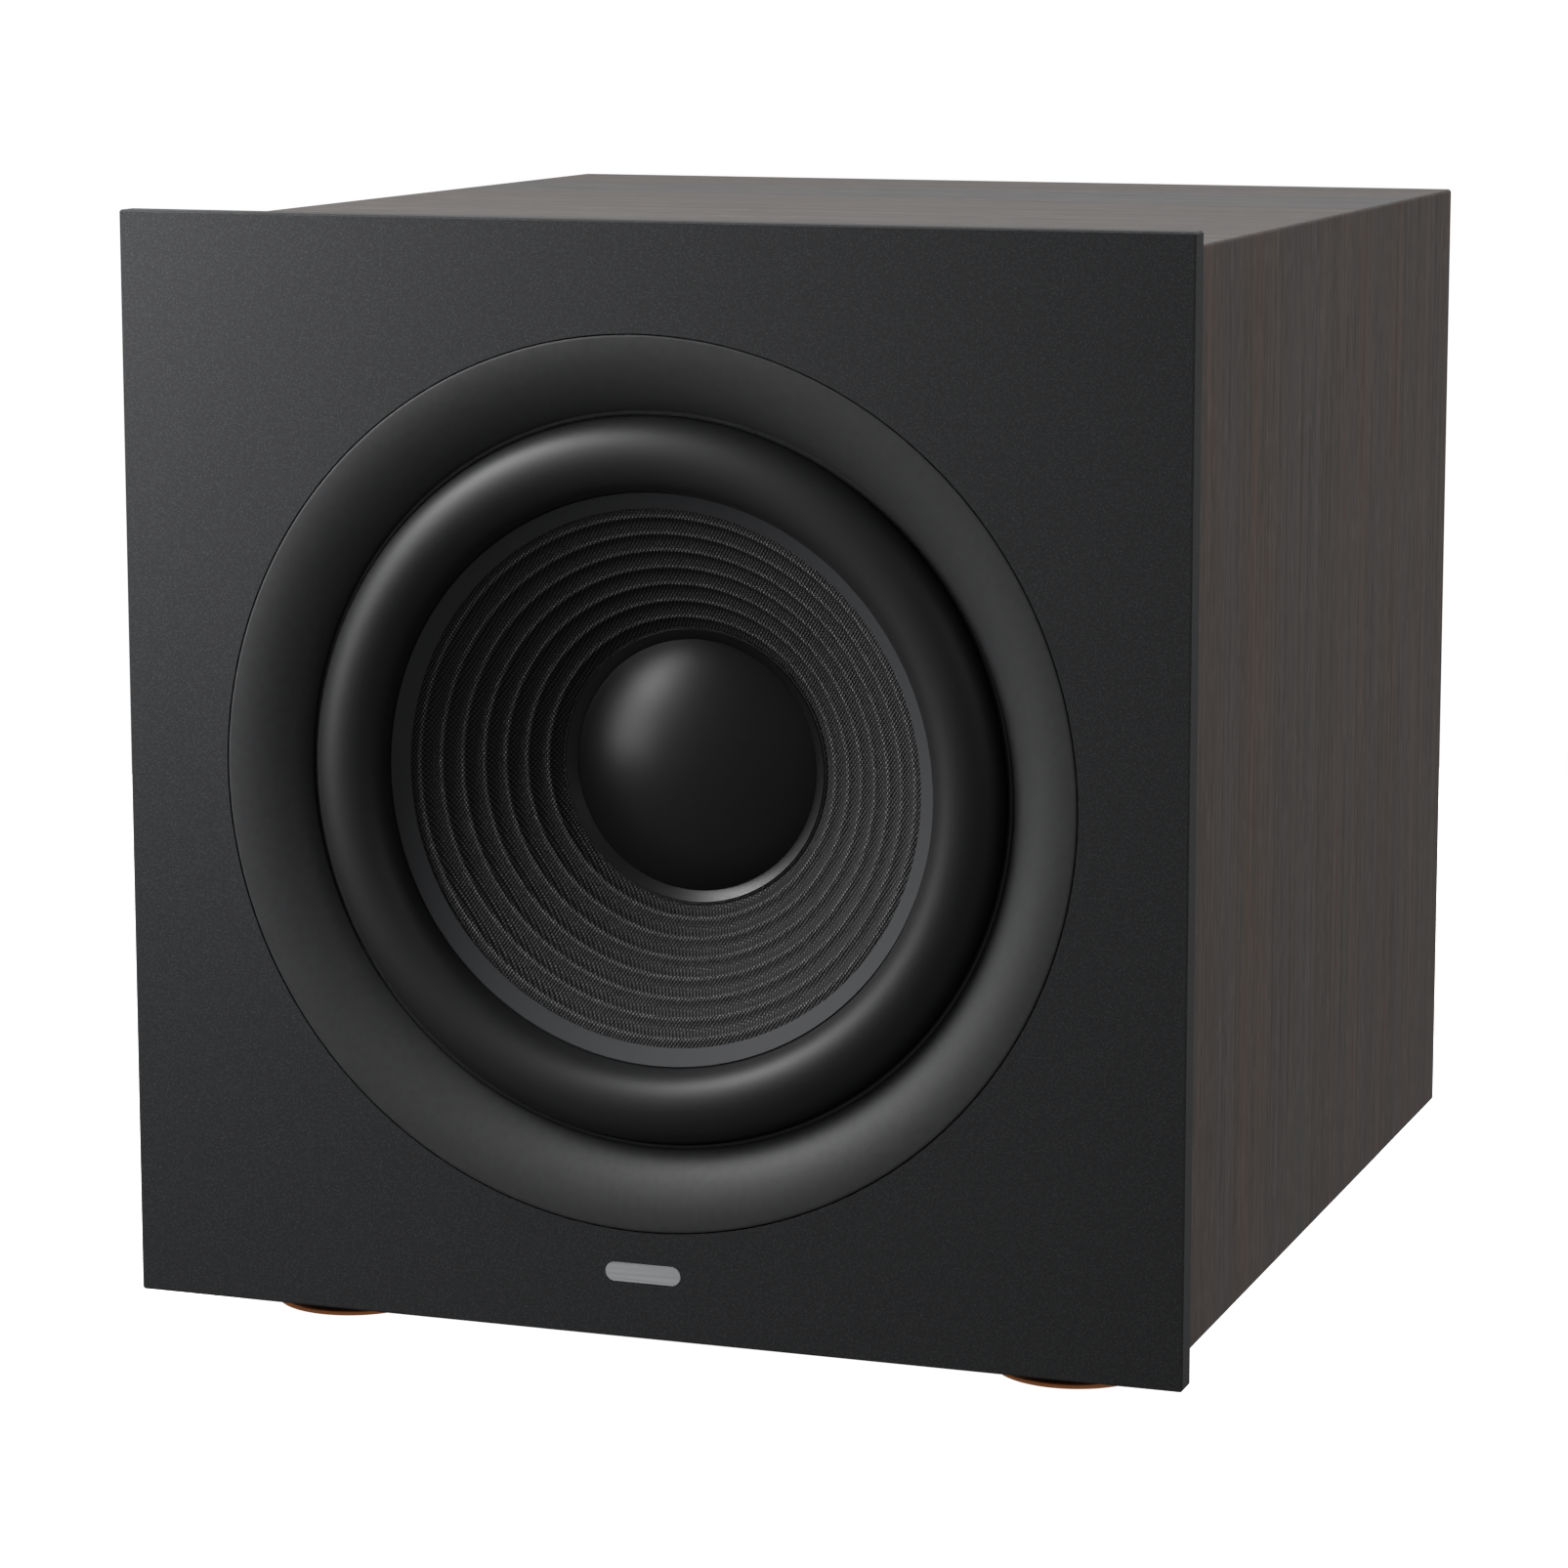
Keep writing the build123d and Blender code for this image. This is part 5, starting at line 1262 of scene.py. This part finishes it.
@dataclass
class Amplifier:
    """The plate amplifier: plate, controls, sockets and what stands behind it.

    Attributes:
        marks: ticks round each knob.
        sweep: degrees from the first tick to the last.
        mark: width, thickness and length of a tick.
        mark_gap: from the knob's side to a tick.
    """

    marks: int = 11
    sweep: float = 300.0
    mark: Place = (0.7 * MM, 0.12 * MM, 2.2 * MM)
    mark_gap: float = 1.8 * MM

    def ticks(self, knob: str) -> list[tuple[float, Place]]:
        """Ticks round a knob, evenly spaced from lower left to lower right.

        Args:
            knob: the knob's CAD node.

        Returns:
            Angle and middle of each tick.
        """
        low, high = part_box(knob)
        face = span("amp_plate", 1)[1] + self.mark[1] * 0.3
        reach = (high.x - low.x) / 2 + self.mark_gap + self.mark[2] / 2
        turns = [math.radians(self.sweep * (i / (self.marks - 1) - 0.5)) for i in range(self.marks)]
        return [(turn, ((low.x + high.x) / 2 + reach * math.sin(turn), face,
                        (low.z + high.z) / 2 + reach * math.cos(turn))) for turn in turns]

    def dial_marks(self) -> None:
        """Pale printed ticks round the two knobs, each a thin bar turned to point at the knob."""
        spots = self.ticks("gain_knob") + self.ticks("crossover_knob")
        grid = bars([place for _, place in spots], [self.mark] * len(spots), [turn for turn, _ in spots])
        fit(slab("dial_marks", grid, MARK_PAINT), "cabinet", "amp_metal")

    def dress(self) -> None:
        """Finishes every node of the amplifier."""
        AMP_PAINT.dress("amp_plate")
        FOAM.dress("amp_gasket")
        ZINC.dress("amp_enclosure", "board_standoffs", "gain_shaft", "crossover_shaft", "inlet_pins",
                   "control_pots")
        CIRCUIT_BOARD.dress("amp_board")
        TRANSFORMER_IRON.dress("transformer")
        CAPACITOR_CAN.dress("capacitors")
        LEVER_PLASTIC.dress("phase_lever", "mode_lever")
        SWITCH_PLASTIC.dress("slide_switch_bodies", "mains_switch_housing", "mains_rocker", "mains_inlet")
        FUSE_PLASTIC.dress("fuse_drawer")
        JACK_NICKEL.dress("jack_shells")
        JACK_INSULATOR.dress("jack_inserts")
        LED_LENS.dress("status_led")
        SINK_ALUMINIUM.dress("heat_sink")
        BLACK_SCREW.dress("amp_screws")

    def make(self) -> None:
        """Builds the knobs and marks and dresses the rest."""
        Knob("gain_knob", "gain_control").make()
        Knob("crossover_knob", "crossover_control").make()
        self.dial_marks()
        self.dress()


# ---------------------------------------------------------------- studio


@dataclass
class Softbox:
    """A square light panel.

    Attributes:
        name: its name.
        place: its middle, in metres.
        target: the point it faces.
        side: length of its side.
        power: in watts.
    """

    name: str
    place: Place
    target: Place
    side: float
    power: float

    def hang(self) -> None:
        """Puts the panel in the scene."""
        light = bpy.data.lights.new(self.name, "AREA")
        light.shape = "SQUARE"
        light.size = self.side
        light.energy = self.power
        lamp = bpy.data.objects.new(self.name, light)
        bpy.context.scene.collection.objects.link(lamp)
        lamp.location = self.place
        lamp.visible_camera = False
        lamp.rotation_euler = (Vector(self.target) - Vector(self.place)).to_track_quat("-Z", "Y").to_euler()


@dataclass
class Studio:
    """Camera, soft lights, a pale floor and a pale surround.

    Attributes:
        eye: the camera's place, in metres.
        turn: its turn about X, Y and Z, in degrees.
        lens: focal length in millimetres.
        sensor: width of its sensor in millimetres.
        shift: shift of its frame, as shares of the width.
        floor_radius: radius of the floor, in metres.
        backdrop: colour behind the object.
        ambient: how strongly the surround lights it.
        lights: the light panels.
    """

    eye: Place = (0.5354, -1.5485, 0.4398)
    turn: tuple[float, float, float] = (81.076, -0.087, 18.942)
    lens: float = 111.424
    sensor: float = 36.0
    shift: tuple[float, float] = (-0.05, -0.05)
    floor_radius: float = 1.0
    backdrop: Colour = (1.0, 1.0, 1.0)
    ambient: float = 0.14
    lights: tuple[Softbox, ...] = (
        Softbox("near_light_high", (-0.6, -0.4, 0.75), (-0.02, -0.19, 0.2), 0.3, 2.4),
        Softbox("near_light", (-0.42, -0.44, 0.57), (-0.02, -0.19, 0.2), 0.3, 2.9),
        Softbox("near_light_low", (-0.5, -0.5, 0.3), (-0.02, -0.19, 0.2), 0.3, 1.0),
        Softbox("top_light", (-0.2, 1.1, 2.3), (0.0, 0.0, 0.36), 2.5, 52.0),
        Softbox("right_light", (1.770, 0.594, 1.519), (0.0, -0.05, 0.2), 0.9, 27.0),
        Softbox("fill_light", (1.872, -1.131, 0.987), (0.0, -0.05, 0.2), 0.9, 2.0),
    )

    def camera(self) -> None:
        """A long lens at chest height, to the right of the front."""
        data = bpy.data.cameras.new("camera")
        data.sensor_width = self.sensor
        data.lens = self.lens
        data.shift_x, data.shift_y = self.shift
        camera = bpy.data.objects.new("camera", data)
        camera.location = self.eye
        camera.rotation_euler = [math.radians(part) for part in self.turn]
        bpy.context.scene.collection.objects.link(camera)
        bpy.context.scene.camera = camera

    def floor(self) -> None:
        """A plain pale disc under the feet."""
        angle = np.linspace(0.0, 2 * math.pi, 96, endpoint=False)
        rim = np.stack([np.cos(angle), np.sin(angle), 0 * angle], axis=1) * self.floor_radius
        mesh = bpy.data.meshes.new("floor")
        mesh.from_pydata(rim, [], [list(range(len(rim)))])
        paint = Finish("floor_paint", (0.93, 0.93, 0.93), 0.9, specular=0.1, mottle=0.0).material()
        shader = next(node for node in paint.node_tree.nodes if node.type == "BSDF_PRINCIPLED")
        shader.inputs["Emission Color"].default_value = (1.0, 1.0, 1.0, 1.0)
        shader.inputs["Emission Strength"].default_value = 1.0
        mesh.materials.append(paint)
        floor = bpy.data.objects.new("floor", mesh)
        floor.visible_glossy = False
        floor.visible_diffuse = False
        bpy.context.scene.collection.objects.link(floor)

    def surround(self) -> None:
        """A white surround that lights the object only softly."""
        world = bpy.data.worlds.new("surround")
        world.use_nodes = True
        bpy.context.scene.world = world
        graph = ShaderGraph(world.node_tree)
        seen = graph.add("ShaderNodeLightPath", {}, {}, "Is Camera Ray")
        light = graph.mix(seen, (self.ambient,) * 3, self.backdrop)
        background = graph.add("ShaderNodeBackground", {}, {"Color": light, "Strength": 1.0})
        graph.node("ShaderNodeOutputWorld", {}, {"Surface": background})

    def set_up(self) -> None:
        """Places everything and keeps colours as they are."""
        bpy.context.scene.view_settings.view_transform = "Standard"
        self.camera()
        self.floor()
        self.surround()
        for light in self.lights:
            light.hang()


def main() -> None:
    """Builds the object and the studio."""
    logging.basicConfig(level=logging.INFO, format="%(name)s: %(message)s")
    Studio().set_up()
    Cabinet().dress()
    Woofer().make()
    Feet().make()
    Port().dress()
    Amplifier().make()


if __name__ == "__main__":
    main()
